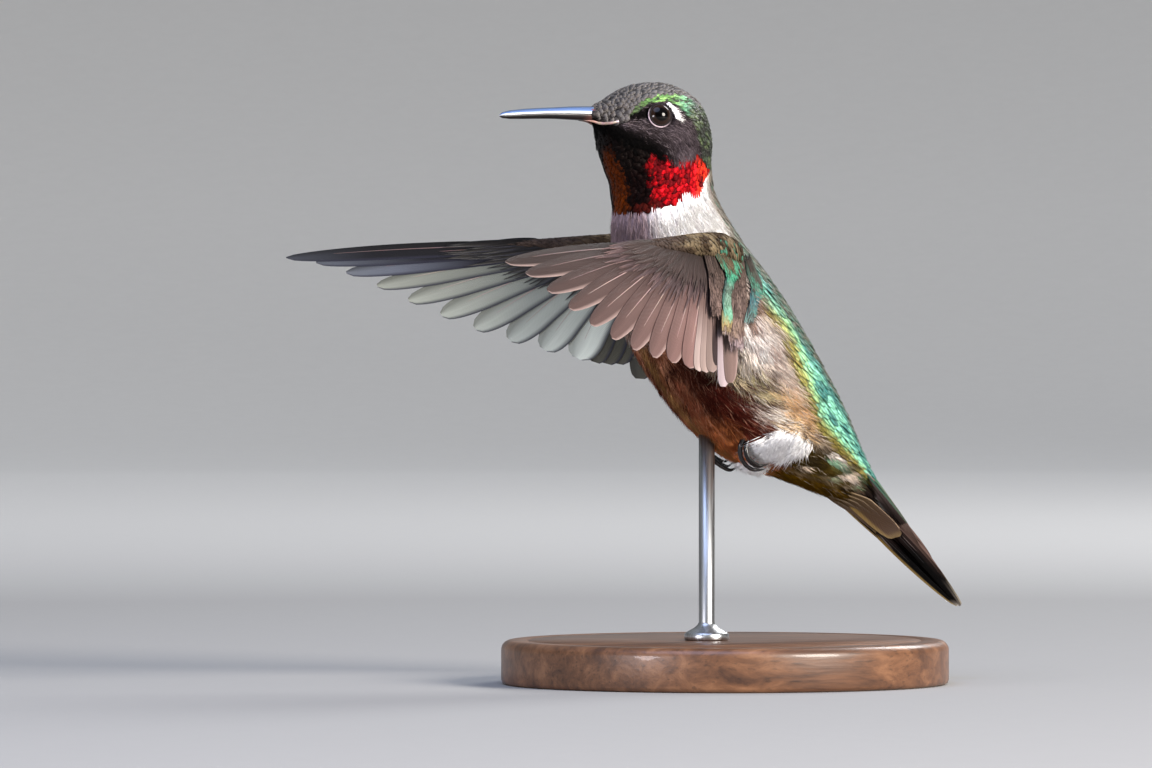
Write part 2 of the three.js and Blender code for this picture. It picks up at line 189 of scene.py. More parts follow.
def barbTemplate():
    # a closed three-sided barb with one thick ring between root and tip; y is along from 0 to 1
    ring = dict(height=0.1, swell=1.9)
    bm = bmesh.new()
    bmesh.ops.create_cone(bm, cap_ends=True, segments=3, radius1=1, radius2=0, depth=2)
    bmesh.ops.bisect_plane(bm, geom=bm.verts[:] + bm.edges[:] + bm.faces[:],
                           plane_co=(0, 0, ring["height"]), plane_no=(0, 0, 1))
    for v in bm.verts:
        if abs(v.co.z - ring["height"]) < 0.01:
            v.co.x *= ring["swell"]
            v.co.y *= ring["swell"]
    points, faces = templateOf(bm)
    return np.stack([points[:, 0], (points[:, 2] + 1) / 2, points[:, 1]], axis=1), faces


def addPiece(name, mesh, materials):
    piece = bpy.data.objects.new(name, mesh)
    bpy.context.collection.objects.link(piece)
    for material in materials:
        mesh.materials.append(material)
    return piece


def addColours(mesh, name, colours):
    layer = mesh.color_attributes.new(name, "FLOAT_COLOR", "POINT")
    shade = np.ones((len(mesh.vertices), 4), np.float32)
    shade[:, :3] = colours.reshape(-1, 3)
    layer.data.foreach_set("color", shade.ravel())


def joinedPiece(name, template, points, colours, vaneUv, bakeUv, materials):
    # one mesh of many like shapes: points (count, corners, 3) in mm, the rest in the same order
    corners, faces = template
    count = len(points)
    each = len(corners)
    sizes = np.array([len(f) for f in faces])
    corner = np.concatenate([np.array(f) for f in faces])
    loops = (np.arange(count)[:, None] * each + corner).ravel()
    starts = np.concatenate([[0], np.cumsum(np.tile(sizes, count))[:-1]])
    mesh = bpy.data.meshes.new(name)
    mesh.vertices.add(count * each)
    mesh.vertices.foreach_set("co", (points.reshape(-1) * mm).astype(np.float32))
    mesh.loops.add(len(loops))
    mesh.loops.foreach_set("vertex_index", loops.astype(np.int32))
    mesh.polygons.add(len(starts))
    mesh.polygons.foreach_set("loop_start", starts.astype(np.int32))
    mesh.update(calc_edges=True)
    mesh.polygons.foreach_set("use_smooth", np.ones(len(starts), dtype=bool))
    # a sheet's border stays crisp when it is given its thickness
    edges = np.zeros(len(loops), np.int32)
    mesh.loops.foreach_get("edge_index", edges)
    mesh.edges.foreach_set("use_edge_sharp", np.bincount(edges, minlength=len(mesh.edges)) == 1)
    addColours(mesh, "plume", colours)
    for layer, values in (("vane", vaneUv), ("OFBake", bakeUv)):
        if values is not None:
            uv = mesh.uv_layers.new(name=layer)
            uv.data.foreach_set("uv", values.reshape(-1, 2)[loops].astype(np.float32).ravel())
    print("  ", name, int((sizes - 2).sum() * count), "triangles")
    return addPiece(name, mesh, materials)


def closeUp(bm, fill=True):
    # welds corners that meet, fills open ends and turns all faces outward
    bmesh.ops.remove_doubles(bm, verts=bm.verts[:], dist=1e-7)
    rim = [e for e in bm.edges if e.is_boundary]
    if fill and rim:
        bmesh.ops.holes_fill(bm, edges=rim, sides=0)
    bmesh.ops.recalc_face_normals(bm, faces=bm.faces[:])


def meshPiece(name, bm, materials):
    mesh = bpy.data.meshes.new(name)
    for f in bm.faces:
        f.smooth = True
    bm.to_mesh(mesh)
    bm.free()
    return addPiece(name, mesh, materials)


def mappedPiece(name, across, along, place, material, paint=None):
    # a grid whose corners go where place(u, v) says, both from 0 to 1; its two long edges join to a
    # tube with closed ends
    bm = bmesh.new()
    bmesh.ops.create_grid(bm, x_segments=across, y_segments=along, size=1)
    flat = (np.array([v.co for v in bm.verts])[:, :2] + 1) / 2
    placed = place(flat[:, 0], flat[:, 1]) * mm
    uv = bm.loops.layers.uv.new("vane")
    for f in bm.faces:
        for loop in f.loops:
            loop[uv].uv = flat[loop.vert.index]
    if paint is not None:
        plume = bm.verts.layers.float_color.new("plume")
        for v, colour in zip(bm.verts, paint(flat[:, 0], flat[:, 1])):
            v[plume] = (*colour, 1.0)
    for v, p in zip(bm.verts, placed):
        v.co = p
    closeUp(bm)
    return meshPiece(name, bm, [material])


def settle(piece, slot, *nodes):
    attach(piece, "root")
    if nodes:
        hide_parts(*nodes)


def splineAt(padded, k):
    # a smooth curve through the rows of padded, which has one more row before and after them
    last = len(padded) - 3
    i = np.minimum(k.astype(int), last - 1)
    f = (k - i)[..., None]
    a, b, c, d = (padded[i + step] for step in range(4))
    curve = 2 * b + (c - a) * f + (2 * a - 5 * b + 4 * c - d) * f ** 2
    return 0.5 * (curve + (3 * b - a - 3 * c + d) * f ** 3)


def withEnds(points):
    return np.vstack([2 * points[0] - points[1], points, 2 * points[-1] - points[-2]])


def curveThrough(points, t):
    # a smooth curve through points, t from 0 to 1
    points = np.asarray(points, float)
    return splineAt(withEnds(points), np.clip(t, 0, 1) * (len(points) - 1))


def tubePiece(name, points, radii, material, rings=0.0, slot="foot_skin"):
    # a round tube along a smooth curve, with shallow rings where it has scutes
    def unit(vectors):
        return vectors / (np.linalg.norm(vectors, axis=-1, keepdims=True) + 1e-9)

    def place(u, v):
        step = 0.01
        ahead = unit(curveThrough(points, v + step) - curveThrough(points, v - step))
        sideways = np.cross(ahead, np.array([0.0, 1.0, 0.0]))
        flat = np.linalg.norm(sideways, axis=-1, keepdims=True) < 0.2
        sideways = unit(np.where(flat, np.cross(ahead, np.array([1.0, 0.0, 0.0])), sideways))
        radius = np.interp(v, np.linspace(0, 1, len(radii)), radii)
        radius = (radius * (1 + rings * np.abs(np.sin(v * 28)) * (v < 0.8)))[:, None]
        turn = 2 * np.pi * u[:, None]
        return curveThrough(points, v) + radius * (sideways * np.cos(turn)
                                                   + np.cross(ahead, sideways) * np.sin(turn))
    piece = mappedPiece(name, 14, 36, place, material)
    settle(piece, slot)
    return piece


# the body's own shape

# middle of each section in x and z, lean of its dorsal side, half depth, half width
stations = np.array([
    [-19.0, 71.1, 90, 1.0, 1.1],   # bill base
    [-17.5, 70.8, 81, 2.4, 2.7],   # lores
    [-15.9, 70.5, 71, 4.2, 4.4],   # forehead
    [-14.1, 70.2, 60, 5.8, 5.6],   # brow
    [-12.1, 69.5, 49, 7.0, 6.3],   # crown
    [-10.3, 68.0, 38, 7.7, 6.7],   # hindcrown
    [-9.3, 65.5, 27, 7.35, 6.7],   # nape
    [-9.2, 63.0, 20, 6.8, 6.6],    # gorget
    [-8.8, 60.0, 12, 6.7, 6.6],    # collar
    [-7.1, 55.4, 6, 8.2, 7.9],     # mantle
    [-4.4, 48.7, 14, 10.2, 9.3],   # breast
    [-0.2, 42.0, 18, 10.6, 9.5],   # keel
    [4.7, 35.5, 22, 9.9, 8.7],     # belly
    [9.3, 30.8, 24, 8.3, 7.3],     # thigh
    [14.1, 27.5, 28, 5.6, 5.2],    # vent
    [18.2, 24.5, 36, 3.4, 4.0],    # tail root
    [22.0, 21.0, 44, 1.7, 3.1],    # tail core
    [25.0, 18.1, 46, 0.5, 2.3],    # its end
])
lastStation = len(stations) - 1
spaced = withEnds(stations)
headPose = dict(turn=math.radians(5), aboutX=-9.2, wholeAt=6.8, noneAt=8.2)


def lerp(a, b, f):
    return a + (b - a) * f


def smooth(x, low, high):
    t = np.clip((x - low) / (high - low), 0, 1)
    return t * t * (3 - 2 * t)


def stationAt(k):
    # a smooth curve through the stations, k counted from 0 at the bill; below 0 a short cuff over it
    cuff = np.clip(k, -0.7, 0)[..., None] * np.array([1.6, -0.1, 0, 0.3, 0.3])
    return splineAt(spaced, np.clip(k, 0, lastStation)) + cuff


def turnHead(points, share=1.0):
    # turns points about the upright line through the neck
    angle = headPose["turn"] * share
    x = points[..., 0] - headPose["aboutX"]
    y = points[..., 1]
    return np.stack([x * np.cos(angle) - y * np.sin(angle) + headPose["aboutX"],
                     x * np.sin(angle) + y * np.cos(angle), points[..., 2]], axis=-1)


def coatDepth(k):
    # how deep the skin lies under the coat's surface
    return (0.42 + 0.38 * smooth(k, 7.5, 10)) * (0.3 + 0.7 * smooth(k, 0, 1.4))


def bodyPoint(k, turn, height):
    # a place over the skin; turn is 0 along the back and positive towards the bird's right
    s = stationAt(k)
    lean = np.radians(s[..., 2])
    grow = height - coatDepth(k)
    back = np.maximum(s[..., 3] + grow, 0.15) * np.cos(turn)
    points = np.stack([s[..., 0] + back * np.cos(lean),
                       np.maximum(s[..., 4] + grow, 0.15) * np.sin(turn),
                       s[..., 1] + back * np.sin(lean)], axis=-1)
    share = 1 - smooth(k, headPose["wholeAt"], headPose["noneAt"])
    return turnHead(points, share)


def bodyScale(k, turn):
    # mm for each station step and for each radian round the body
    step = 0.01
    ahead = bodyPoint(k + step, turn, 0) - bodyPoint(k - step, turn, 0)
    aside = bodyPoint(k, turn + step, 0) - bodyPoint(k, turn - step, 0)
    return (np.linalg.norm(ahead, axis=-1) / (2 * step) + 0.05,
            np.linalg.norm(aside, axis=-1) / (2 * step) + 0.05)


def onBody(k, turn, ahead, aside, height):
    # places ahead towards the tail and aside round the body from roots at k and turn
    perStation, perTurn = bodyScale(k, turn)
    return bodyPoint(k[:, None] + ahead / perStation[:, None],
                     turn[:, None] + aside / perTurn[:, None], height)


# plumage map: where each kind of feather grows, and its colour

# s is degrees from the crown line or the back, on either side
def regions(k, s):
    # each border's places along the body or round it, then where it runs there
    stripeLow = np.interp(
        k, [-0.6, 0.3, 1.23, 1.7, 2.14, 2.59, 3.04, 3.38, 3.69, 4.05, 4.55, 5.14, 6.06, 6.4, 7.4],
        [125, 112, 91, 76, 66, 59, 56, 56, 56, 61, 67, 70, 70, 62, 48])
    stripeHigh = np.interp(
        k, [1.31, 1.7, 2.15, 2.62, 3.05, 3.46, 3.88, 4.31, 4.62, 4.9],
        [80, 65, 54, 47, 43, 40, 37, 37, 36, 24])
    gorgetTop = np.interp(
        s, [40, 60, 67, 76, 84, 94, 102, 108, 117, 124, 132, 140, 150, 180],
        [6.9, 6.5, 6.25, 6.0, 6.0, 5.85, 5.8, 5.55, 4.95, 4.3, 3.2, 1.6, 0.6, 0.3])
    gorgetLow = np.interp(
        s, [40, 57, 64, 70, 78, 84, 92, 97, 104, 112, 123, 137, 154, 164, 176, 180],
        [7.2, 7.36, 7.6, 7.86, 7.88, 7.76, 7.55, 7.8, 7.93, 7.91, 7.84, 8.01, 7.91, 7.94, 7.84, 7.8])
    bandIn = np.interp(
        k, [8.0, 9.3, 10.2, 10.6, 11.0, 11.45, 11.9, 12.4, 12.7, 13.1, 13.8, 15, 17],
        [46, 58, 67, 67, 69, 75, 82, 88, 88, 86, 82, 76, 76])
    bandOut = np.interp(
        k, [9.3, 9.85, 10.4, 10.7, 11.2, 11.7, 12.2, 12.8, 13.5, 14.2, 17],
        [46, 44, 47, 46, 42, 38, 36, 35, 32, 30, 30])
    gorgetLow = gorgetLow - 0.36
    front = k < gorgetTop
    gorget = (k >= gorgetTop) & (k < gorgetLow) & (s > 44)
    below = ~front & ~gorget
    face = front & (s > stripeLow)
    crown = front & ~face & ((s <= stripeHigh) | (k < 1.35)) & (k < 4.9 + 0.012 * s)
    stripe = front & ~face & ~crown
    dorsal = below & (s <= bandIn)
    vent = below & ((((k - 12.78) / 0.3) ** 2 + ((s - 112) / 21) ** 2 < 1)
                    | (((k - 13.1) / 0.16) ** 2 + ((s - 160) / 14) ** 2 < 1))
    undertail = below & ~dorsal & ~vent & (k > 13.0)
    collar = below & ~dorsal & (k <= 8.9)
    breast = below & ~dorsal & (k > 8.9) & (k <= 10.3)
    rest = below & ~dorsal & (k > 10.3) & ~vent & ~undertail
    belly = rest & (s > 118)
    flank = rest & (s <= 118)
    return dict(face=face, crown=crown, stripe=stripe, gorget=gorget, dorsal=dorsal, vent=vent,
                undertail=undertail, collar=collar, breast=breast, belly=belly, flank=flank,
                bandIn=bandIn, bandOut=bandOut)


def blob(k, s, atK, atS, reachK, reachS):
    # 1 in the middle of a patch, falling to 0 at its reach
    return np.clip(1.6 * (1 - np.sqrt(((k - atK) / reachK) ** 2 + ((s - atS) / reachS) ** 2)), 0, 1)


patchValues = np.random.default_rng(5).random((40, 40))


def patches(k, s, stationStep, degreeStep):
    # smooth random values from 0 to 1 that change over these steps along and round the body
    a, b = k / stationStep + 3, s / degreeStep + 7
    i, j = np.floor(a).astype(int), np.floor(b).astype(int)
    f, g = smooth(a - i, 0, 1), smooth(b - j, 0, 1)
    near, far = (lerp(patchValues[(i + step) % 40, j % 40], patchValues[(i + step) % 40, (j + 1) % 40], g)
                 for step in (0, 1))
    return lerp(near, far, f)


def streak(k, s, start, end, width):
    # 1 along a short streak from start to end, each a station and degrees, 0 beyond its width in mm
    scale = np.array([2.6, 0.11])
    a, b = np.array(start) * scale, np.array(end) * scale
    p = np.stack([k, s], axis=-1) * scale - a
    share = np.clip((p @ (b - a)) / ((b - a) @ (b - a)), 0, 1)
    away = np.linalg.norm(p - share[:, None] * (b - a), axis=-1)
    return np.clip(2.5 * (1 - away / (width * (0.45 + 0.55 * share))), 0, 1)


def streakPlace(k, s):
    # the white mark behind the eye
    return streak(k, s, (3.4, 61.5), (4.05, 73.5), 0.34) > 0.1


def plumeColour(k, turn, draw):
    # draw is one random number from 0 to 1 for each place
    s = np.degrees(np.abs(turn))
    part = regions(k, s)
    colour = np.tile(linear("#c2b096"), (len(k), 1))

    def layAll(mask, washes):
        # one colour over another, each with a weight from 0 to 1, where the mask is true
        for weight, hexColour in washes:
            share = np.clip(mask * weight, 0, 1).astype(float)[:, None]
            colour[:] = colour * (1 - share) + linear(hexColour) * share

    # breast: greyish white, dusky lower down
    layAll(part["breast"], [
        (1, "#c9bdb6"),
        (smooth(k, 9.4, 10.3), "#8a7163")])
    # flank: pinkish white plumes behind the wing, olive beige below them, orange buff near the vent
    flank = part["flank"]
    layAll(flank, [
        ((draw > 0.5), "#ab9781"),
        (blob(k, s, 11.25, 105, 0.75, 17), "#b3a986"),
        (blob(k, s, 10.6, 86, 0.95, 19), "#fff4f1"),
        (blob(k, s, 10.6, 86, 0.95, 19) * (draw < 0.25), "#b39a90"),
        (blob(k, s, 11.4, 88, 0.55, 12) * (draw > 0.4), "#e6d2c6"),
        (blob(k, s, 11.9, 93, 0.62, 15), "#dcb284"),
        (blob(k, s, 12.35, 104, 0.5, 13), "#ecc795"),
        (blob(k, s, 12.05, 115, 0.5, 10) * (draw > 0.4), "#f6efea"),
        ((draw < 0.17) * smooth(s, 84, 96), "#5e4a40")])
    # belly: painted shade and painted reddish reflected light in place of its own grey white: dark maroon on
    # its side, rusty brown in front, orange brown near the feet
    belly = part["belly"]
    layAll(belly, [
        (1, "#6b3c2c"),
        (blob(k, s, 11.3, 136, 1.3, 24), "#3f140d"),
        (blob(k, s, 11.9, 138, 0.7, 14), "#4a180f"),
        (smooth(s, 144, 160), "#96583f"),
        ((draw > 0.66) * smooth(s, 148, 158), "#b98062"),
        ((draw < 0.2), "#3c160e"),
        (smooth(k, 11.4, 12.2) * smooth(s, 136, 154), "#cf7d4a"),
        (smooth(s, 170, 178), "#a57a4c"),
        ((1 - smooth(s, 117, 130)) * (draw > 0.55) * (k > 11.2), "#e9dfd8"),
        ((1 - smooth(s, 117, 126)) * (draw < 0.5), "#3b2a26")])
    layAll(part["vent"], [
        (1, "#ffffff")])
    # under the tail: dusky olive brown, blotched, gold at the lower edge
    under = part["undertail"]
    layAll(under, [
        (1, "#43350f"),
        (smooth(patches(k, s, 0.22, 16.0), 0.5, 0.7), "#6f6048"),
        (smooth(patches(k, s, 0.22, 16.0), 0.72, 0.85), "#cdbcaa"),
        (smooth(patches(k + 5, s, 0.2, 12.0), 0.7, 0.85) * (s < 125), "#5d8a66"),
        (smooth(s, 128, 150), "#5c4200"),
        (smooth(k, 14.3, 15.0) * (s < 140), "#5f4e44"),
        (blob(k, s, 13.3, 111, 0.3, 9), "#2f2513"),
        (blob(k, s, 13.47, 88, 0.36, 9), "#e6dfd8"),
        (blob(k, s, 13.82, 95, 0.3, 7), "#86ab90"),
        (blob(k, s, 14.35, 103, 0.36, 8), "#e3d9d3"),
        (blob(k, s, 14.6, 127, 0.4, 11), "#2a1f0e"),
        (streak(k, s, (13.6, 78), (15.4, 80), 0.7), "#3a302c")])
    # collar: clean white, lilac grey in front as painted shade
    layAll(part["collar"], [
        (1, "#ffffff"),
        (smooth(s, 116, 146), "#948087"),
        ((1 - smooth(s, 48, 58)), "#a2968a")])
    # back: its green painted grey brown in the middle, as it looks in grazing sheen, and greener near the
    # spine; a teal band with painted aqua highlights; gold green at its inner edge
    inner = part["bandIn"]
    outer = part["bandOut"] + 6
    back = part["dorsal"]
    broad = patches(k, s, 0.3, 9.0)
    fine = patches(k + 3.3, s, 0.11, 4.5)
    layAll(back, [
        # painted sheen: grey brown for the green as it looks at a grazing angle
        (1, "#5e6054"),
        ((draw > 0.7), "#456456"),
        ((1 - smooth(s, 12, 30)) * smooth(broad + 0.4 * draw, 0.2, 0.8), "#3f7048"),
        ((1 - smooth(s, 12, 30)) * (draw > 0.75), "#7f9a55"),
        (smooth(s, outer - 10, outer + 1), "#47857e"),
        # painted highlights: aqua patches on the teal band
        (smooth(s, outer - 2, outer + 6) * smooth(broad + 0.5 * fine, 0.55, 0.85), "#84cdb3"),
        (smooth(s, outer - 2, outer + 6) * smooth(fine, 0.72, 0.9), "#2f746f")])
    golden = back * smooth(k, 10.0, 10.7)
    layAll(golden, [
        (smooth(s, inner - 24, inner - 14) * smooth(fine, 0.2, 0.5), "#9ccf96"),
        (smooth(s, inner - 17, inner - 8), "#8f8a45"),
        (smooth(s, inner - 17, inner - 8) * smooth(fine, 0.5, 0.8), "#b7c078"),
        (smooth(s, inner - 17, inner - 8) * smooth(k, 11.5, 12.1) * 0.85, "#6b6024")])
    layAll(back, [
        ((1 - smooth(k, 9.8, 10.5)) * smooth(s, outer, outer + 8), "#54625a"),
        ((1 - smooth(k, 9.8, 10.5)) * smooth(s, outer, outer + 8) * smooth(fine, 0.55, 0.8), "#8f8579"),
        (smooth(s, inner - 10, inner - 2) * smooth(broad, 0.35, 0.7), "#7d6e34"),
        (smooth(s, inner - 6, inner) * (draw < 0.4), "#5f5030"),
        ((1 - smooth(k, 8.4, 9.7)), "#6e675c"),
        ((1 - smooth(k, 8.8, 9.9)) * (draw > 0.8), "#566f62"),
        (blob(k, s, 9.75, 66, 0.5, 16), "#4d9484")])
    # crown and the bright line over the eye
    crown = part["crown"]
    layAll(crown, [
        (1, "#454343"),
        ((draw > 0.6), "#575454"),
        ((draw < 0.3), "#2c2929"),
        ((1 - smooth(k, 1.2, 2.8)) * (draw > 0.15), "#282322"),
        ((1 - smooth(k, 1.2, 2.8)) * (draw > 0.85), "#3a3330")])
    stripe = part["stripe"]
    glint = patches(k, s, 0.2, 6.0)
    layAll(stripe, [
        (1, "#54663e"),
        (smooth(k, 1.7, 2.6), "#5d8a4a"),
        (smooth(k, 1.9, 2.9) * smooth(glint + 0.4 * draw, 0.5, 0.9), "#9acb76"),
        (smooth(k, 3.4, 4.2), "#4c8061"),
        (smooth(k, 3.4, 4.2) * smooth(glint + 0.4 * draw, 0.5, 0.9), "#79b894"),
        (smooth(k, 3.9, 4.5), "#23281f"),
        (smooth(k, 3.9, 4.5) * smooth(glint + 0.3 * draw, 0.65, 0.95), "#4a5738"),
        (smooth(k, 4.3, 4.9) * (draw < 0.3), "#22221c"),
        ((draw < 0.12), "#33402c")])
    # face: black lores and chin, dark purplish grey ear coverts, painted lighter towards their back where
    # the light falls
    face = part["face"]
    layAll(face, [
        (1, "#352e31"),
        # painted light: the ear coverts lighter towards their back
        (blob(k, s, 5.0, 86, 1.7, 24), "#4d4449"),
        (streak(k, s, (1.1, 94), (2.5, 76), 1.3), "#060404"),
        (smooth(s, 98, 118), "#030202"),
        (blob(k, s, 5.7, 92, 0.6, 18) * 0.9, "#6e6268"),
        (streakPlace(k, s), "#ffffff")])
    # gorget: iridescent scales painted as they catch the light from one side: ruby with painted glints at
    # the side, painted shade in front; black at the chin
    gorget = part["gorget"]
    # patches of painted bright glints and painted dark shade on the red
    glintShadePatches = patches(k, s, 0.35, 9.0)
    layAll(gorget, [
        (1, "#96060f"),
        ((draw > 0.5), "#a80914"),
        (smooth(glintShadePatches, 0.62, 0.8) * (draw > 0.4), "#e81a2a"),
        ((1 - smooth(glintShadePatches, 0.3, 0.52)), "#4c050b"),
        # painted highlight: brighter orange red towards the back, where the light catches the scales
        ((1 - smooth(s, 62, 84)) * (draw > 0.2), "#ea3a22"),
        (smooth(patches(k + 7, s, 0.2, 6.0), 0.68, 0.85), "#5a060d"),
        # painted shade where the scales face away from the light: near black in front, maroon low down, dull
        # orange brown at the front edge
        (smooth(s, 127, 138), "#0c0202"),
        ((1 - smooth(k, 4.0, 4.6)), "#0a0403"),
        (smooth(s, 120, 132) * (1 - smooth(s, 150, 160)) * smooth(k, 7.0, 7.4), "#3c0d08"),
        (smooth(s, 160, 172) * smooth(k, 1.2, 2.6), "#5f2802"),
        (smooth(s, 160, 170) * smooth(k, 1.2, 2.6) * (1 - smooth(k, 5.6, 7.0)) * 0.5, "#3a1502")])
    return colour


# roots

# where the coat's roots may be: stations from start to end, in cells along and round the body
rootGrid = dict(start=-0.6, end=15.6, along=645, around=360)
tuftPatch = 0.003


def scatter(where, count):
    # random places on the skin, as many to each square millimetre, where(k, s) is true
    start, end, along, around = rootGrid.values()
    k, turn = np.meshgrid(np.linspace(start, end, along), np.linspace(-math.pi, math.pi, around + 1)[:-1],
                          indexing="ij")
    k, turn = k.ravel(), turn.ravel()
    perStation, perTurn = bodyScale(k, turn)
    share = perStation * perTurn * where(k, np.degrees(np.abs(turn)))
    cells = rng.choice(len(k), size=count, p=share / share.sum())
    k = k[cells] + rng.uniform(-0.5, 0.5, count) * (end - start) / (along - 1)
    turn = turn[cells] + rng.uniform(-0.5, 0.5, count) * 2 * math.pi / around
    inside = where(k, np.degrees(np.abs(turn)))
    return k[inside], turn[inside]


def spread(where, spacing, tries, stretch=1.0):
    # places no nearer to each other than the spacing, or the spacing times the stretch down the back
    k, turn = scatter(where, tries)
    places = bodyPoint(k, turn, 0)
    downBack = np.array([0.56, 0, -0.83])
    places = places - (places @ downBack)[:, None] * downBack * (1 - 1 / stretch)
    cells = np.floor(places / spacing).astype(int)
    near = [(a, b, c) for a in (-1, 0, 1) for b in (-1, 0, 1) for c in (-1, 0, 1)]
    taken = {}
    kept = []
    for i, (cell, spot) in enumerate(zip(map(tuple, cells), places)):
        close = (taken.get((cell[0] + a, cell[1] + b, cell[2] + c)) for a, b, c in near)
        if all(other is None or np.sum((places[other] - spot) ** 2) > spacing ** 2 for other in close):
            taken[cell] = i
            kept.append(i)
    return k[kept], turn[kept]


def bakePatch(k, turn, across, along):
    # each tuft's own small patch at its root's place on an unwrap of the skin
    u = 0.004 + 0.992 * (turn / (2 * math.pi) + 0.5)
    v = 0.004 + 0.992 * (k - rootGrid["start"]) / (lastStation - rootGrid["start"])
    return np.stack([u[:, None] + tuftPatch * (across - 0.5), v[:, None] + tuftPatch * (along - 0.5)],
                    axis=-1)


# eyes: places that the coat keeps clear of

eye = dict(radius=1.7, x=-12.7, y=4.8, z=70.85, turnForward=math.radians(16), lift=math.radians(12),
           clear=1.44, ring=1.5)


def eyePlace(side):
    middle = np.array([eye["x"], side * eye["y"], eye["z"]])
    out = np.array([-math.sin(eye["turnForward"]) * math.cos(eye["lift"]),
                    side * math.cos(eye["turnForward"]) * math.cos(eye["lift"]), math.sin(eye["lift"])])
    return turnHead(middle), turnHead(out + [headPose["aboutX"], 0, 0]) - [headPose["aboutX"], 0, 0]


def clearOfEyes(points, reach):
    keep = np.ones(len(points), bool)
    for side in (-1, 1):
        middle, out = eyePlace(side)
        offset = points - middle
        height = offset @ out
        off = np.linalg.norm(offset - height[..., None] * out, axis=-1)
        keep &= ~((off < reach) & (height > 0)).any(axis=1)
    return keep


# materials of the coat

def barbWave(tree, axes, lean, count):
    # how far off the shaft, and a wave over the barbs, which lean towards the tip
    off = maths(tree, "ABSOLUTE", maths(tree, "SUBTRACT", maths(tree, "MULTIPLY", axes["X"], 2.0), 1.0))
    slant = maths(tree, "SUBTRACT", axes["Y"], maths(tree, "MULTIPLY", off, lean))
    return off, maths(tree, "SINE", maths(tree, "MULTIPLY", slant, count * 2 * math.pi))


def featherMaterial(name, settings, edge=("MULTIPLY", "#ffffff", 0.0), barbs=(3, 0.0)):
    # contour feather of keratin barbs: its own colour, blended with another at the edge; barbs have
    # a number and a height
    material, tree, shader = newMaterial(name, settings)
    axes = ownAxes(tree)[1]
    off, wave = barbWave(tree, axes, 0.35, barbs[0])
    border = ranged(tree, maths(tree, "MAXIMUM", off, axes["Y"]),
                    {"From Min": 0.7, "From Max": 0.97, "To Max": edge[2]})
    colour = mixColour(tree, edge[0], border, ownColour(tree), edge[1])
    finish(tree, shader, tinted(tree, colour, scaled(tree, wave, 0.1, 0.96)), wave, barbs[1])
    return material


# loose barbs of soft body feathers: matt keratin, faint gloss
softMaterial = featherMaterial("loose_feather_barbs", {"Roughness": 0.7, "Specular IOR Level": 0.06})
# white down at the vent: loose barbs that scatter light
ventMaterial = featherMaterial("white_down", {"Roughness": 0.8, "Specular IOR Level": 0.2,
                                              "Sheen Weight": 1.0, "Sheen Roughness": 0.5})
# structural colour over dark keratin: scaly feathers that shine like metal
gorgetMaterial = featherMaterial(
    "ruby_gorget_feathers", {"Roughness": 0.6, "Metallic": 0.2, "Specular IOR Level": 0.06},
    ("MULTIPLY", "#c08080", 0.35), (5, 0.2))
backMaterial = featherMaterial(
    "green_back_feathers", {"Roughness": 0.5, "Metallic": 0.25, "Specular IOR Level": 0.3},
    ("MULTIPLY", "#b5b5aa", 0.6), (5, 0.2))
# dull contour feathers with paler edges
crownMaterial = featherMaterial("dusky_crown_feathers", {"Roughness": 0.6, "Specular IOR Level": 0.3},
                                ("MIX", "#74706e", 0.6), (5, 0.3))
undertailMaterial = featherMaterial("buff_undertail_coverts",
                                    {"Roughness": 0.65, "Specular IOR Level": 0.3},
                                    ("MIX", "#b5a58f", 0.08), (12, 0.4))


# skin: one closed surface under the coat, from the bill's base to the tail

skin = dict(around=120, along=170, shade=0.5)


def skinSpot(u, v):
    return v * lastStation, (u - 0.5) * 2 * math.pi


def skinPlace(u, v):
    return bodyPoint(*skinSpot(u, v), 0)


# the plumage's colours darkened: painted shade between the feathers
def skinPaint(u, v):
    return plumeColour(*skinSpot(u, v), np.full(len(v), 0.5)) * skin["shade"]


# short down over the skin, seen only between the feathers: their colours, darker, as painted shade in the
# gaps
skinMaterial, tree, shader = newMaterial("down_over_skin", {"Roughness": 0.85, "Specular IOR Level": 0.2})
mottle = speckle(tree, 1400.0, 3.0)
finish(tree, shader, tinted(tree, ownColour(tree), mottle["Color"], 0.5), mottle["Fac"], 0.5, 0.1)
skinPiece = mappedPiece("skin", skin["around"], skin["along"], skinPlace, skinMaterial, skinPaint)
settle(skinPiece, "body_feathers", "head", "neck", "torso", "rump")
print("skin made")


# coat

leaf = sheetTemplate(2, 4, True)
barb = barbTemplate()


def scaleShape(length, half, heading):
    # offsets towards the tail and aside, for scales of these lengths, half widths and headings
    x, y, z = leaf[0].T
    rows = [0, 0.42, 0.76, 0.93, 1.0]
    y = np.interp(y, [0, 0.25, 0.5, 0.75, 1.0], rows)
    along = length[:, None] * (y - 0.06 * x ** 2 * y - 0.25)
    across = half[:, None] * x * np.interp(y, rows, [0.4, 0.95, 1.0, 0.8, 0.42])
    turned = heading[:, None]
    ahead = along * np.cos(turned) - across * np.sin(turned)
    aside = along * np.sin(turned) + across * np.cos(turned)
    return ahead, aside, np.broadcast_to((x + 1) / 2, along.shape), np.broadcast_to(y, along.shape), z


# darker towards the root: partly the feather's own darker base, partly painted shade under the feathers over
# it
def rootShaded(along01, root, end):
    return (root + (1.05 - root) * smooth(along01, *end))[..., None]


def layCoat(name, template, roots, points, colours, across01, along01, material, slot):
    keep = clearOfEyes(points, eye["clear"])
    vaneUv = np.stack([across01, along01], axis=-1)
    bakeUv = bakePatch(*roots, across01, along01)
    settle(joinedPiece(name, template, points[keep], colours[keep], vaneUv[keep], bakeUv[keep],
                       [material]), slot)


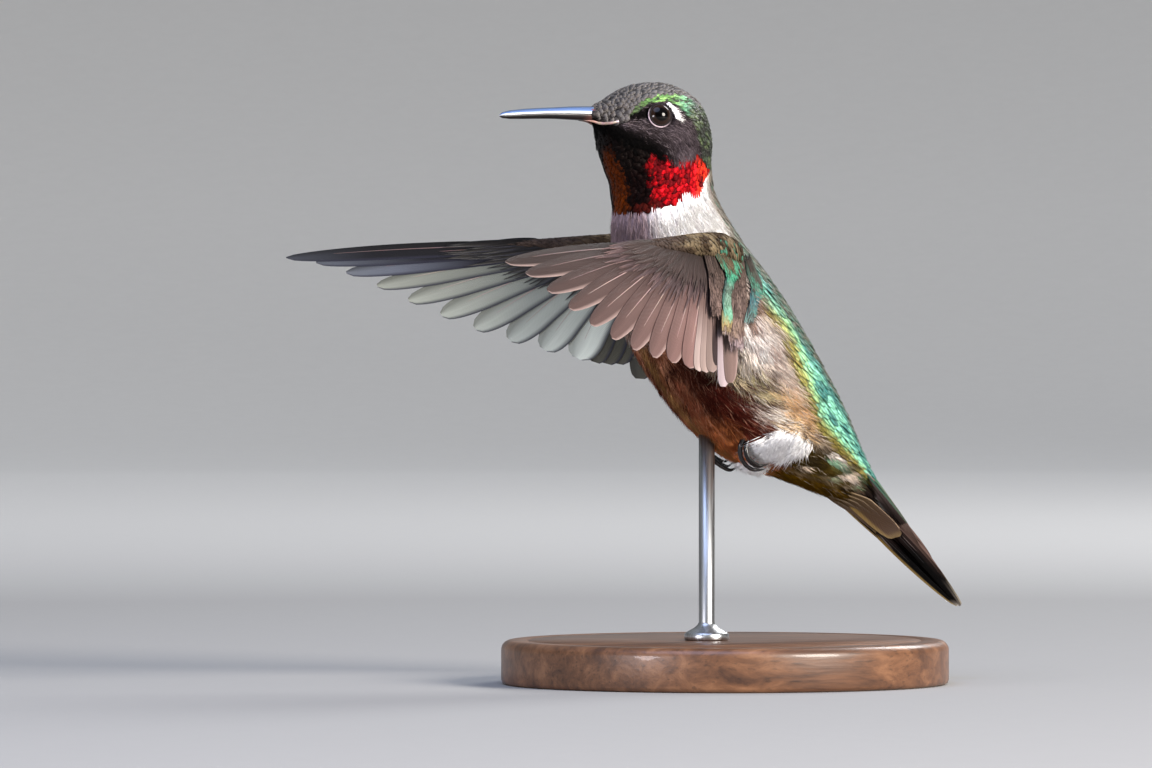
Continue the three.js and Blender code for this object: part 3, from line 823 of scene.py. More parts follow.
def layScales(name, where, material, slot, spec):
    # scaly feathers like roof tiles: root under, tip over the next
    k, turn = spread(where, spec["spacing"], spec["tries"], spec.get("stretch", 1))
    count = len(k)
    draw = rng.random(count)
    length = spec["length"] * rng.uniform(0.8, 1.2, count)
    half = spec["half"] * rng.uniform(0.85, 1.15, count)
    heading = rng.normal(0, spec.get("scatter", 0.1), count)
    ahead, aside, across01, along01, z = scaleShape(length, half, heading)
    rise = spec["rise"] * rng.uniform(0.8, 1.25, count)[:, None]
    height = spec["base"] + rise * along01 + 0.03 * z * (1 - along01 * 0.4)
    points = onBody(k, turn, ahead, aside, height)
    colour = plumeColour(k, turn, draw) * rng.uniform(0.86, 1.14, count)[:, None]
    colours = np.clip(colour[:, None, :] * rootShaded(along01, spec["rootShade"], (0.2, 0.75)), 0, 1)
    layCoat(name, leaf, (k, turn), points, colours, across01, along01, material, slot)


def laySoft(name, where, slot, spec):
    # soft feathers: each a fan of loose barbs that lies along the body
    spec = {**softDefaults, **spec}
    barbs = spec["barbs"]
    k, turn = scatter(where, spec["tufts"])
    draw = rng.random(len(k))
    colour = plumeColour(k, turn, draw)
    slew = np.sign(turn) * np.radians(spec["slew"](k, np.degrees(np.abs(turn))))
    lie = slew + rng.normal(0, spec["scatter"], len(k))
    tuftLength = rng.uniform(*spec["length"], len(k))
    tuftRise = rng.uniform(0.5, 1.3, len(k))
    tuftBend = rng.normal(0, spec["sway"], len(k))
    tuftTone = rng.uniform(1 - spec["mottle"], 1 + spec["mottle"], len(k))
    rank = np.tile(np.linspace(-1, 1, barbs), len(k))
    count = len(rank)

    def many(values):
        return np.repeat(values, barbs, axis=0)
    shift = rng.normal(0, spec["loose"], (2, count))
    perStation, perTurn = bodyScale(k, turn)
    rootK = np.clip(many(k) + shift[0] / many(perStation), -0.62, lastStation - 0.5)
    rootTurn = many(turn) + (shift[1] * 0.6 + rank * spec["loose"] * 1.3) / many(perTurn)
    x, y, z = barb[0].T
    length = (many(tuftLength) * rng.uniform(0.65, 1.1, count) * (1 - 0.25 * rank ** 2))[:, None]
    heading = (many(lie) + rank * spec["fan"] + rng.normal(0, 0.07, count))[:, None]
    bend = (many(tuftBend) + rng.normal(0, 0.12, count) - rank * spec["fan"] * 0.7)[:, None]
    taper = 1 - 0.35 * y
    half = spec["half"] * rng.uniform(0.75, 1.3, count)[:, None]
    turned = heading + bend * y
    ahead = length * y * np.cos(turned) - half * x * taper * np.sin(turned)
    aside = length * y * np.sin(turned) + half * x * taper * np.cos(turned)
    lift = (many(tuftRise) * rng.uniform(0.6, 1.4, count))[:, None]
    height = spec["base"] + lift * (spec["rise"] * y + spec["curl"] * y ** 2) + half * 0.6 * z * taper
    points = onBody(rootK, rootTurn, ahead, aside, height)
    tone = (many(tuftTone) * rng.uniform(0.8, 1.2, count))[:, None, None]
    along01 = np.broadcast_to(y, (count, len(y)))
    shade = rootShaded(along01, spec["rootShade"], (0.0, 0.75))
    colours = np.clip(many(colour)[:, None, :] * shade * tone, 0, 1)
    # some barbs are paler, fewest where the plumage is near black
    pale = rng.random(count) < spec["pale"] * smooth(many(colour.max(axis=1)), 0.004, 0.03)
    paler = colours * 0.35 + linear(spec["paleColour"]) * 0.65 * shade
    colours = np.where(pale[:, None, None], paler, colours)
    across01 = (rank[:, None] * 0.45 + 0.5) + 0.04 * x
    layCoat(name, barb, (many(k), many(turn)), points, colours, across01, along01, spec["material"], slot)


def within(region, low=-1, reach=16):
    # true in the region beyond low degrees from the crown line or back, before the station reach
    return lambda k, s: regions(k, s)[region] & (s > low) & (k < reach)


def slewed(degrees):
    return lambda k, s: degrees + 0 * k


def flankSlew(k, s):
    # the side's barbs fan out under the wing and slant towards the back behind it
    crossing = -26 * smooth(k, 11.0, 11.5) * (1 - smooth(k, 12.3, 12.7)) * smooth(s, 90, 104)
    fan = 40 * smooth(k, 9.6, 10.1) * (1 - smooth(k, 10.7, 11.2)) * smooth(s, 82, 104)
    return (crossing + fan) * (1 - smooth(s, 128, 142))


# sizes in mm, headings in radians; rootShade is how dark a feather's root is beside its tip, partly its own
# darker base and partly painted shade under the feathers over it
layScales("coat_crown", within("crown"), crownMaterial, "crown_feathers", dict(
    spacing=0.42, tries=26000, length=1.45, half=0.42, base=0.06, rise=0.3, scatter=0.16, rootShade=0.5))
layScales("coat_browline", within("stripe"), backMaterial, "crown_feathers", dict(
    spacing=0.26, tries=26000, length=1.4, half=0.25, base=0.02, rise=0.3, rootShade=0.7))
layScales("coat_gorget", within("gorget"), gorgetMaterial, "throat_feathers", dict(
    spacing=0.36, tries=34000, length=1.6, half=0.5, base=0.1, rise=0.1, scatter=0.25, rootShade=0.86))
layScales("coat_back", within("dorsal"), backMaterial, "rump_feathers", dict(
    spacing=0.33, tries=90000, stretch=2.2, length=2.7, half=0.3, base=0.12, rise=0.34, scatter=0.09,
    rootShade=0.75))
print("scaly feathers laid")

# barbs in each tuft, their spread over it (fan, loose), lie (slew, scatter, sway) and height
softDefaults = dict(base=0.0, curl=0.1, fan=0.1, loose=0.2, sway=0.12, mottle=0.1, slew=slewed(0),
                    pale=0.0, paleColour="#ffffff", material=softMaterial)
laySoft("coat_face", within("face"), "crown_feathers", dict(
    tufts=2100, barbs=9, length=(0.9, 1.7), half=0.05, fan=0.14, loose=0.1, scatter=0.06, base=-0.02,
    rise=0.3, curl=0.04, rootShade=0.4, pale=0.18, paleColour="#8b7e84"))
laySoft("coat_eye_streak", streakPlace, "crown_feathers", dict(
    tufts=170, barbs=9, length=(0.3, 0.55), half=0.05, loose=0.03, scatter=0.05, base=0.58, rise=0.12,
    curl=0.0, rootShade=0.95, slew=slewed(55)))
laySoft("coat_collar", within("collar", 44), "throat_feathers", dict(
    tufts=1500, barbs=11, length=(2.6, 3.8), half=0.055, fan=0.05, loose=0.12, scatter=0.02, sway=0.03,
    base=-0.02, rise=0.34, curl=0.08, rootShade=0.92, pale=0.1, paleColour="#8f808e"))
laySoft("coat_breast", within("breast"), "body_feathers", dict(
    tufts=1100, barbs=12, length=(2.6, 3.8), half=0.08, fan=0.16, loose=0.22, scatter=0.1, rise=0.5,
    rootShade=0.6, pale=0.08, paleColour="#e6dcd6", mottle=0.2))
# the belly's paler barbs are rusty too: painted reddish reflected light
laySoft("coat_belly", within("belly"), "body_feathers", dict(
    tufts=900, barbs=21, length=(3.0, 5.2), half=0.075, scatter=0.07, rise=0.5, rootShade=0.62,
    pale=0.07, paleColour="#b0806a", mottle=0.3, slew=flankSlew))
laySoft("coat_flank", within("flank"), "body_feathers", dict(
    tufts=640, barbs=26, length=(3.4, 6.2), half=0.075, loose=0.22, scatter=0.1, rise=0.55, curl=0.15,
    rootShade=0.66, pale=0.16, paleColour="#fbf3ec", mottle=0.28, slew=flankSlew))
laySoft("coat_undertail", within("undertail", reach=15.3), "rump_feathers", dict(
    tufts=420, barbs=20, length=(2.6, 4.4), half=0.085, scatter=0.06, sway=0.06, rise=0.4, curl=0.05,
    rootShade=0.7, pale=0.02, paleColour="#cdbfb2", mottle=0.15))
laySoft("coat_vent", within("vent"), "body_feathers", dict(
    tufts=330, barbs=15, length=(2.6, 4.8), half=0.07, fan=0.3, loose=0.22, scatter=0.16, base=0.3,
    rise=0.6, curl=0.35, rootShade=1.0, slew=slewed(68), material=ventMaterial))
print("soft feathers laid")


# flight and tail feathers

def vaneWidth(t, fullAt, taperFrom, tipShare, point):
    # point: 0.5 for a round tip, more for a sharp one
    opening = 0.16 + 0.84 * smooth(t, 0, fullAt)
    f = np.clip((t - taperFrom) / (1 - taperFrom), 0, 1)
    closing = tipShare + (1 - tipShare) * np.maximum(0, 1 - f * f) ** point
    return np.where(t < fullAt, opening, np.where(t < taperFrom, 1, closing))


def vaneCentre(f, t):
    # s, c and heading of a feather's shaft at t
    heading = f["angle"] + f.get("bend", 0) * t
    middle = f["angle"] + f.get("bend", 0) * t * 0.5
    return (f["root"][0] + f["length"] * t * np.cos(middle),
            f["root"][1] + f["length"] * t * np.sin(middle), heading)


def vanePoints(place, f, q, t):
    # a thin sheet: q is across from -1 to 1, t along from 0 to 1
    s, c, heading = vaneCentre(f, t)
    share = vaneWidth(t, f.get("fullAt", 0.35), f.get("taperFrom", 0.68), f.get("tipShare", 0.12),
                      f.get("point", 0.5))
    across = np.where(q < 0, f["outer"], f["inner"]) * q * share
    height = f.get("lift", 0) + f.get("rise", 0) * t - f.get("tilt", 0) * across
    height = height + f.get("arch", 0.12) * (1 - q * q)
    return place(s - across * np.sin(heading), c + across * np.cos(heading), height)


def shaftPoints(place, f, u, v, radius):
    # the shaft: a slim tapered tube just above the sheet's middle; u round, v along
    t = 0.01 + 0.97 * v
    s, c, heading = vaneCentre(f, t)
    r = radius * (1 - 0.8 * v)
    across = r * np.cos(2 * np.pi * u)
    height = f.get("lift", 0) + f.get("rise", 0) * t + f.get("arch", 0.12) + r * np.sin(2 * np.pi * u)
    return place(s - across * np.sin(heading), c + across * np.cos(heading), height)


broadSheet = sheetTemplate(8, 30)
narrowSheet = sheetTemplate(4, 12)
rod = sheetTemplate(6, 14)


def shadesAlong(stops, y, part=1):
    # stops: t from root to tip, then one colour or more; part says which of them
    shades = np.array([linear(stop[part]) for stop in stops])
    return np.stack([np.interp(y, [stop[0] for stop in stops], shades[:, i]) for i in range(3)], axis=-1)


def vaneColour(f, stops, x, y):
    # rims: parts of the web with another colour, each from one x to another
    colour = shadesAlong(stops, y) * f.get("tone", 1)
    for low, high, rim in f.get("rims", []):
        colour = np.where(((x > low) & (x < high))[:, None], shadesAlong(rim, y), colour)
    return colour


def layVanes(name, place, feathers, materials, thickness, sheet=broadSheet):
    # a set of flight feathers as one piece: each a sheet, given its thickness by a modifier; the
    # attributes plume and underside hold the colours of its two faces
    x, y = sheet[0][:, 0], sheet[0][:, 1]
    points = np.stack([vanePoints(place, f, x, y ** 0.9) for f in feathers])
    upper, under = (np.stack([vaneColour(f, f.get(face, f["colour"]), x, y) for f in feathers])
                    for face in ("colour", "under"))
    vaneUv = np.tile(np.stack([(x + 1) / 2, y], axis=-1), (len(feathers), 1, 1))
    piece = joinedPiece(name, sheet, points, upper, vaneUv, None, materials)
    addColours(piece.data, "underside", under)
    solid = piece.modifiers.new("thickness", "SOLIDIFY")
    solid.thickness = thickness * mm
    solid.offset = 0
    solid.material_offset = 1
    solid.material_offset_rim = 1
    return piece


def layShafts(name, place, feathers, radius, slot):
    u, v = (rod[0][:, 0] + 1) / 2, rod[0][:, 1]
    points = np.stack([shaftPoints(place, f, u, v, radius) for f in feathers])
    colours = np.stack([np.tile(linear(f["shaftColour"]), (len(u), 1)) for f in feathers])
    vaneUv = np.tile(np.stack([u, v], axis=-1), (len(feathers), 1, 1))
    piece = joinedPiece(name, rod, points, colours, vaneUv, None, [shaftMaterial])
    bm = bmesh.new()
    bm.from_mesh(piece.data)
    closeUp(bm)
    bm.to_mesh(piece.data)
    bm.free()
    settle(piece, slot)


def webMaterial(name, face, settings, outerShade, margin, grainShare):
    # vane of a flight feather: fine parallel barbs slanting to the tip, its outer web darker; its
    # margin has a colour, a share and where across it starts and is whole
    material, tree, shader = newMaterial(name, settings)
    vane, axes = ownAxes(tree)
    # barbs every 0.3 mm, coarser than the real 0.1 mm so that they show
    wave = barbWave(tree, axes, 0.1, 70)[1]
    drawn = addNode(tree, "ShaderNodeMapping", {"Scale": (9.0, 2.5, 1.0)}, {"Vector": vane})
    grain = addNode(tree, "ShaderNodeTexNoise", {"Scale": 1.0, "Detail": 3.0, "Roughness": 0.6},
                    {"Vector": drawn.outputs["Vector"]})
    tone = scaled(tree, grain.outputs["Fac"], grainShare, 1.0 - grainShare / 2)
    tone = maths(tree, "ADD", tone, maths(tree, "MULTIPLY", wave, 0.04))
    web = ranged(tree, axes["X"], {"From Min": 0.2, "From Max": 0.62, "To Min": outerShade})
    colour = tinted(tree, ownColour(tree, face), maths(tree, "MULTIPLY", tone, web))
    hexColour, share, start, whole = margin
    edge = ranged(tree, axes["X"], {"From Min": start, "From Max": whole, "To Max": share})
    finish(tree, shader, mixColour(tree, "MIX", edge, colour, hexColour), wave, 0.25)
    return material


# wing and tail webs: closed vanes of brown keratin, silky from above, paler underneath
silky = {"Roughness": 0.5, "Specular IOR Level": 0.35}
wingUpperMaterial = webMaterial("flight_feather_upper_web", "plume", silky, 0.72,
                                ("#a8938f", 0.6, 0.84, 1.0), 0.45)
covertMaterial = webMaterial("wing_covert_web", "plume", {"Roughness": 0.6, "Specular IOR Level": 0.25},
                             0.85, ("#a8938f", 0.0, 0.84, 1.0), 0.6)
# the under webs' dark inner margin: partly their own dark edge, partly painted shadow where the feathers
# overlap
wingUnderMaterial = webMaterial("flight_feather_under_web", "underside", silky, 0.5,
                                ("#1d1e2c", 0.9, 0.84, 0.97), 0.3)
# the tail's webs are dull: a low IOR keeps their black matt
tailWebMaterial = webMaterial("tail_feather_web", "plume", {"Roughness": 0.7, "IOR": 1.1}, 0.9,
                              ("#6e5320", 0.0, 0.1, 0.0), 0.3)
# feather shafts: smooth horn
shaftMaterial, tree, shader = newMaterial("feather_shaft_horn",
                                          {"Roughness": 0.4, "Specular IOR Level": 0.3})
finish(tree, shader, tinted(tree, ownColour(tree), speckle(tree, 900.0)["Color"], 0.4))

wing = dict(shoulder=(-4.3, 7.7, 55.6), sweep=math.radians(63), camber=0.009, camberAt=6,
            pitch={-1: math.radians(10), 1: math.radians(20)}, fan={-1: 1.42, 1: 1.8},
            inner={-1: (2.5, 1.5), 1: (2.5, 1.3)}, web=0.07, covertWeb=0.04, shaft=0.12)


def framed(origin, axes, steps):
    # origin plus these steps along the axes
    a, b, c = (np.asarray(step)[..., None] * np.array(axis) for step, axis in zip(steps, axes))
    return origin + a + b + c


def wingPlace(side):
    pitch = wing["pitch"][side]
    sweep = wing["sweep"]
    along = np.array([-math.sin(sweep), side * math.cos(sweep), 0])
    out = np.array([math.cos(sweep), side * math.sin(sweep), 0])
    down = np.array([0, 0, -math.cos(pitch)]) + out * math.sin(pitch)
    upper = out * math.cos(pitch) + np.array([0, 0, math.sin(pitch)])
    shoulder = np.array(wing["shoulder"]) * [1, side, 1]

    def place(s, c, h):
        lift = h - wing["camber"] * (c - wing["camberAt"]) ** 2
        return framed(shoulder, (along, down, upper), (s, c, lift))
    return place


def primary(j, side):
    f = (j - 1) / 9
    # seen from below the leading feathers are navy, the others dark at the root and pale green grey, partly
    # their own grey and partly painted light through the thin webs
    under = [(0, "#1b1922"), (0.2, "#3a3a42"), (0.42, "#939a93"), (1, "#b4bab0")]
    if j > 7:
        dusk = 0.15 * (j - 7)
        under = [(0, "#14121b"), (0.2 + dusk, "#1f2033"), (0.6 + dusk, "#858da0"), (1.4, "#9ba2a7")]
    # tone paints the outer primaries darker and the inner ones lighter: painted shade and light across the
    # wing
    return dict(
        root=(lerp(4.6, 15, f), lerp(2.0, 0.75, f)), length=13.8 + 18.8 * f ** 1.25 + 1.3 * (1 - f) ** 4,
        angle=math.radians(0.2 + 61.5 * (1 - f) ** wing["fan"][side]), bend=math.radians(lerp(6, 5.5, f)),
        outer=lerp(1.9, 0.75, f), inner=lerp(*wing["inner"][side], f), tilt=0.05, arch=0.02,
        tipShare=lerp(0.3, 0.06, f), taperFrom=lerp(0.8, 0.5, f), under=under, tone=1.5 - 1.35 * f ** 0.6,
        colour=[(0, "#3b2c2a"), (0.3, "#4d3a38"), (0.6, "#644d4a"), (1, "#5e4744")],
        shaftColour="#a8928f" if j < 8 else "#6d5b5a")


# the secondaries from the outermost inwards: length, and the upper side's colour; the fourth's near black is
# painted shadow in the gap before the tertials
secondaries = [(14.8, "#a3928e"), (14.7, "#94827d"), (14.5, "#7f6e69"), (13.6, "#2f2223"),
               (16.1, "#a3959a"), (15.6, "#6b5854")]


def secondary(k):
    f = (k - 1) / 5
    length, tint = secondaries[k - 1]
    return dict(root=(lerp(3.9, 1.3, f), 2.2), angle=math.radians(lerp(69, 87, f)), length=length,
                bend=math.radians(4), outer=1.5, inner=1.9 if k > 1 else 1.6, tilt=0.06, tipShare=0.35,
                taperFrom=0.78, arch=0.02,
                colour=[(0, "#4a3b38"), (0.4, "#6b5753"), (0.75, tint), (1, tint)],
                under=[(0, "#1c1a17"), (0.5, "#302f28"), (1, "#47463b")],
                shaftColour="#a8928f" if k < 4 else "#5c4c4a")


def covertStrands(f, share, lift, colour, under):
    # a covert over or under a share of its flight feather, as loose strands side by side
    strands = []
    for rank in np.linspace(-0.8, 0.9, 6):
        across = rank * (f["outer"] if rank < 0 else f["inner"]) * 0.9
        root = (f["root"][0] - across * math.sin(f["angle"]), f["root"][1] + across * math.cos(f["angle"]))
        strands.append({**f, "root": root, "length": f["length"] * share * rng.uniform(0.8, 1.12),
                        "angle": f["angle"] + rng.normal(0, 0.02), "outer": 0.36, "inner": 0.36,
                        "lift": lift * 0.6 + rng.uniform(-0.04, 0.04), "rise": lift * 0.4, "tipShare": 0.02,
                        "taperFrom": 0.3, "fullAt": 0.25, "point": 1.1, "arch": 0.05, "colour": colour,
                        "under": under, "tone": rng.uniform(0.84, 1.16), "tilt": 0.0})
    return strands


def wingFeathers(side):
    flights = [primary(j, side) for j in range(1, 11)] + [secondary(k) for k in range(1, 7)]
    coverts = []
    greater = [(0, "#231918"), (0.45, "#322627"), (0.8, "#443537"), (1, "#675351")]
    median = [(0, "#221916"), (0.6, "#2d2220"), (1, "#3d302e")]
    inward = [(0, "#322624"), (0.5, "#524141"), (1, "#705b58")]
    dusky = [(0, "#151314"), (0.6, "#211f20"), (1, "#3a3934")]
    for i, f in enumerate(flights):
        share = lerp(0.46, 0.38, i / 9) if i < 12 else 0.56
        coverts += covertStrands(f, share, 0.22, greater if i < 12 else inward, dusky)
        coverts += covertStrands(f, share * 0.64, 0.42, median, dusky)
        coverts += covertStrands(f, share * 1.1, -0.3, greater, dusky)
    return flights, coverts


# narrow feathers in strips down the wing's inner end: where their roots start and end, the strip's
# middle and reach across at distances down, height, size and number; its two colours further down
shoulderStrips = {
    "outer": dict(
        start=0.9, end=10.6, at=[0.8, 2.2, 4, 6, 7.5, 9.4, 11.5], middle=[1.4, 1.6, 0.7, 2.4, 3.0, 3.2, 4.0],
        reach=[1.9, 2.2, 0.9, 0.6, 0.7, 1.1, 0.8], height=1.15, length=2.4, half=0.12, count=620,
        colours=[(0.8, "#3a4f42", "#4a3c2f"), (2.2, "#4b8a70", "#5e4e3e"), (4, "#428a6e", "#34604f"),
                 (5.2, "#6c8478", "#56685e"), (7, "#7d9f8d", "#61866f"), (8.4, "#74ad93", "#5a917a"),
                 (9.3, "#8f9570", "#9a875f"), (10, "#957f56", "#7b6a50"), (10.6, "#8d8288", "#6d6064")]),
    "filling": dict(
        start=1.6, end=7.6, at=[1.6, 4, 8], middle=[4.0, 3.8, 4.8], reach=[1.7, 1.7, 1.0], height=0.75,
        length=3.2, half=0.14, count=340,
        colours=[(1.6, "#4a3f3a", "#3a312d"), (5, "#66554f", "#4f423e"), (7.6, "#6f5d58", "#574844")]),
    "middle": dict(
        start=1.6, end=11.6, at=[1.6, 2.7, 7, 11.3], middle=[-1.3, -1.0, 0.3, 1.5],
        reach=[1.0, 1.5, 1.8, 1.5], height=1.0, length=3.4, half=0.13, count=520,
        colours=[(1.6, "#4b3f38", "#3a312c"), (4, "#5f514b", "#4a3e3a"), (8, "#75645e", "#5a4b47"),
                 (10, "#867266", "#65544e"), (11.6, "#8d7f86", "#6d5f62")]),
    "inner": dict(
        start=2.6, end=9.2, at=[2.6, 4.4, 6.2, 8.2, 9.3, 10.6], middle=[-3.1, -3.4, -3.9, -3.2, -2.0, -0.9],
        reach=[0.6, 1.2, 1.2, 1.2, 1.0, 0.8], height=1.2, length=2.6, half=0.12, count=420,
        colours=[(2.6, "#4c4540", "#37312d"), (3.8, "#477a6a", "#4a4540"), (5, "#47806b", "#3b3d3c"),
                 (6.6, "#4b717a", "#3e4244"), (8, "#527d78", "#4b4c4c"), (9.4, "#6b807b", "#565f5e")]),
}


def layWingScales(name, points, colour, along01, across01, patchU, patchV):
    # small scaly feathers of the wing, darker at the root, partly their own darker base and partly painted
    # shade under the ones over it, with their own patches
    colours = colour[:, None, :] * (0.7 + 0.35 * along01)[..., None]
    vaneUv = np.stack([across01, along01], axis=-1)
    patch = np.stack([patchU[:, None] + tuftPatch * (across01 - 0.5),
                      patchV[:, None] + tuftPatch * (along01 - 0.5)], axis=-1)
    settle(joinedPiece(name, leaf, points, colours, vaneUv, patch, [softMaterial]), "flight_feathers")


def layStrip(name, place, spec):
    count = spec["count"]
    down = np.sort(rng.uniform(spec["start"], spec["end"], count))
    across = rng.uniform(-1, 1, count)
    middle = np.interp(down, spec["at"], spec["middle"])
    beside = middle + across * np.interp(down, spec["at"], spec["reach"])
    slope = np.interp(down + 1, spec["at"], spec["middle"]) - middle
    ahead, aside, across01, along01, z = scaleShape(spec["length"] * rng.uniform(0.75, 1.2, count),
                                                    spec["half"] * rng.uniform(0.8, 1.2, count),
                                                    -np.arctan(slope) * 0.8 + rng.normal(0, 0.06, count))
    height = spec["height"] + 0.2 * along01 + 0.03 * z - 0.12 * across[:, None] ** 2
    points = place(beside[:, None] - aside, down[:, None] + ahead, height)
    bright, dull = (shadesAlong(spec["colours"], down, part) for part in (1, 2))
    mix = smooth(patches(down, beside * 10, 0.9, 7.0) + rng.uniform(-0.2, 0.2, count), 0.25, 0.75)
    colour = lerp(bright, dull, mix[:, None]) * rng.uniform(0.82, 1.18, count)[:, None]
    layWingScales(name, points, colour, along01, across01, 0.5 + 0.06 * beside, 0.05 + 0.06 * down)


sides = ((-1, "left"), (1, "right"))
for side, sideName in sides:
    place = wingPlace(side)
    flights, coverts = wingFeathers(side)
    # a sheet's first face looks down on the left wing and up on the right one
    faces = [wingUnderMaterial, wingUpperMaterial][::-side]
    vanes = layVanes("flight_feathers_" + sideName, place, flights, faces, wing["web"])
    settle(vanes, "flight_feathers", "wing_" + sideName)
    faces = [wingUnderMaterial, covertMaterial][::-side]
    vanes = layVanes("wing_coverts_" + sideName, place, coverts, faces, wing["covertWeb"], narrowSheet)
    settle(vanes, "flight_feathers")
    for stripName, spec in shoulderStrips.items():
        layStrip("coat_shoulder_" + stripName + "_" + sideName, place, spec)
    layShafts("feather_shafts_" + sideName, place, flights, wing["shaft"], "flight_feathers")
print("wings feathered")

# along the wing, behind its leading edge, and half the arm's chord and thickness
armStations = np.array([[-1.8, 1.8, 2.0, 1.8], [0.5, 1.3, 2.3, 1.9], [4, 0.85, 1.95, 1.5],
                        [9, 0.55, 1.35, 1.0], [15, 0.5, 0.85, 0.6], [21, 0.5, 0.5, 0.35]])
armReach = 23
armSunk = 0.35
lesserCoverts = dict(length=2.3, half=0.42, rise=0.2, sunk=0.3, count=1200, heading=0.9)


def armPoint(place, turn, v, grow):
    # the fleshy arm and hand; turn round from the leading edge, v from shoulder to hand
    station = curveThrough(armStations, v)
    return place(station[..., 0], station[..., 1] + (station[..., 2] + grow) * np.cos(turn),
                 (station[..., 3] + grow) * np.sin(turn))


# short down over the wing's arm, mottled brown
armMaterial, tree, shader = newMaterial("down_over_wing_arm", {"Roughness": 0.8, "Specular IOR Level": 0.2})
finish(tree, shader,
       colourRamp(tree, speckle(tree, 1200.0, 3.0)["Fac"], [(0.3, "#241d18"), (0.7, "#4b4032")]))


def coverArm(name, place):
    # lesser coverts: small scaly feathers over the arm, olive at the shoulder, green behind it
    count = lesserCoverts["count"]
    round0 = rng.uniform(0, 1, count)
    v0 = rng.uniform(0.0, 0.98, count) ** 1.25
    size = (1 - 0.45 * v0) * rng.uniform(0.85, 1.15, count)
    station = curveThrough(armStations, v0)
    girth = math.pi * (station[:, 2] + station[:, 3])
    # feathers point towards the hind edge and a little outwards
    back, outwards, across01, along01, z = scaleShape(
        lesserCoverts["length"] * size, lesserCoverts["half"] * size,
        np.full(count, lesserCoverts["heading"]))
    upperSide = np.where(np.sin(2 * math.pi * round0) >= 0, 1, -1)[:, None]
    grow = -lesserCoverts["sunk"] + lesserCoverts["rise"] * along01 * size[:, None] + 0.04 * z
    # the chord is counted from the hind edge here
    turn = math.pi - 2 * math.pi * (round0[:, None] - upperSide * back / girth[:, None])
    points = armPoint(place, turn, v0[:, None] + outwards / armReach, grow)
    mottle = patches(v0 * 9, round0 * 60, 0.55, 7.0)[:, None]
    tone = lerp(linear("#34291e"), linear("#6a5d48"), smooth(mottle, 0.3, 0.85))
    tone = lerp(tone, linear("#3d332e"), smooth(v0[:, None], 0.5, 0.72))
    green = (v0 < 0.3) & (rng.random(count) < 0.2) & (np.cos(2 * math.pi * round0) < 0)
    tone = np.where(green[:, None], linear("#3a6553"), tone)
    colour = tone * rng.uniform(0.75, 1.25, count)[:, None]
    layWingScales(name, points, colour, along01, across01, 0.05 + 0.9 * round0, 0.05 + 0.9 * v0)


for side, sideName in sides:
    place = wingPlace(side)
    arm = mappedPiece("wing_arm_" + sideName, 24, 40,
                      lambda u, v: armPoint(place, 2 * math.pi * u, v, -armSunk), armMaterial)
    settle(arm, "flight_feathers")
    coverArm("coat_wing_" + sideName, place)
print("wing arms covered")

# tail

tail = dict(root=(16.8, 0, 25.6), drop=math.radians(43), length=22.5, coverts=3, web=0.2, covertWeb=0.16,
            shaft=0.22)


def tailPlace(s, c, h):
    along = (math.cos(tail["drop"]), 0, -math.sin(tail["drop"]))
    back = (math.sin(tail["drop"]), 0, math.cos(tail["drop"]))
    return framed(np.array(tail["root"]), (along, back, (0, 1, 0)), (s, h, c))


def rectrix(i, side):
    f = (i - 1) / 4
    onTop = 0.3 if i == 1 and side < 0 else 0
    colour = [(0, "#2b221e"), (0.7, "#5d4b46"), (1, "#4b3c38")]
    if i > 3:
        colour = [(0, "#4b3c38"), (0.36, "#241a17"), (0.46, "#060403"), (0.94, "#050302"), (0.98, "#8d8578"),
                  (1, "#c9c2b4")]
    rims = []
    if side < 0 and i > 3:
        rims = [(-2, -0.4, [(0, "#463733"), (0.5, "#2f2420"), (0.7, "#0b0706"), (1, "#8d8578")])]
    if side > 0 and i == 5:
        rims = [(-2, -0.7, [(0, "#8a6f2c"), (1, "#b39a63")])]
    return dict(root=(1.5 + 2 * f, side * lerp(0.9, 2.0, f)), angle=side * math.radians(lerp(2.5, 5, f)),
                length=(tail["length"] - 1.5) * lerp(0.7, 1.05, f ** 0.7) - 2 * f,
                bend=side * math.radians(lerp(-5, -20, f)), outer=-side * lerp(1.7, 2.1, f),
                inner=-side * lerp(1.2, 1.1, f), lift=lerp(1.2, -0.6, f) + onTop, rise=lerp(-0.9, 0.1, f),
                taperFrom=lerp(0.6, 0.45, f), tipShare=0.08, fullAt=0.3, arch=0.06, colour=colour,
                rims=rims, shaftColour="#17100e" if i > 3 else "#9a8b80")


def tailCovert(i, side, upper):
    f = i / tail["coverts"]
    sign = 1 if upper else -1
    colour = [(0, "#3f6b52"), (0.5, "#4b7358"), (1, "#66775f")]
    if upper and i > 1:
        colour = [(0, "#2c5243"), (0.4, "#3d4f43"), (1, "#4c5047")]
    if not upper:
        colour = [(0, "#5b4a2c"), (0.5, "#5a4634"), (0.88, "#675242"), (1, "#a58d5e")]
    length = 11.5 * lerp(1, 0.78, f) if upper else 10.5 * lerp(0.66, 0.93, f)
    rims = [] if upper or f < 1 else [(0.7, 2, [(0, "#8a6f2c"), (1, "#a58d5e")])]
    return dict(root=(0, side * lerp(0.5, 2.3, f)), angle=side * math.radians(lerp(2, 5, f)),
                length=length, bend=side * math.radians(-8), rims=rims,
                outer=-side * lerp(1.4, 3.4 if upper else 2.0, f), inner=-side * lerp(1.3, 1.6, f),
                lift=sign * lerp(3.1, 1.9, f), rise=-sign * lerp(1.9, 0.7, f),
                tilt=sign * side * lerp(0.12, 0.38, f), tipShare=0.4, taperFrom=0.62, arch=0.06,
                colour=colour)


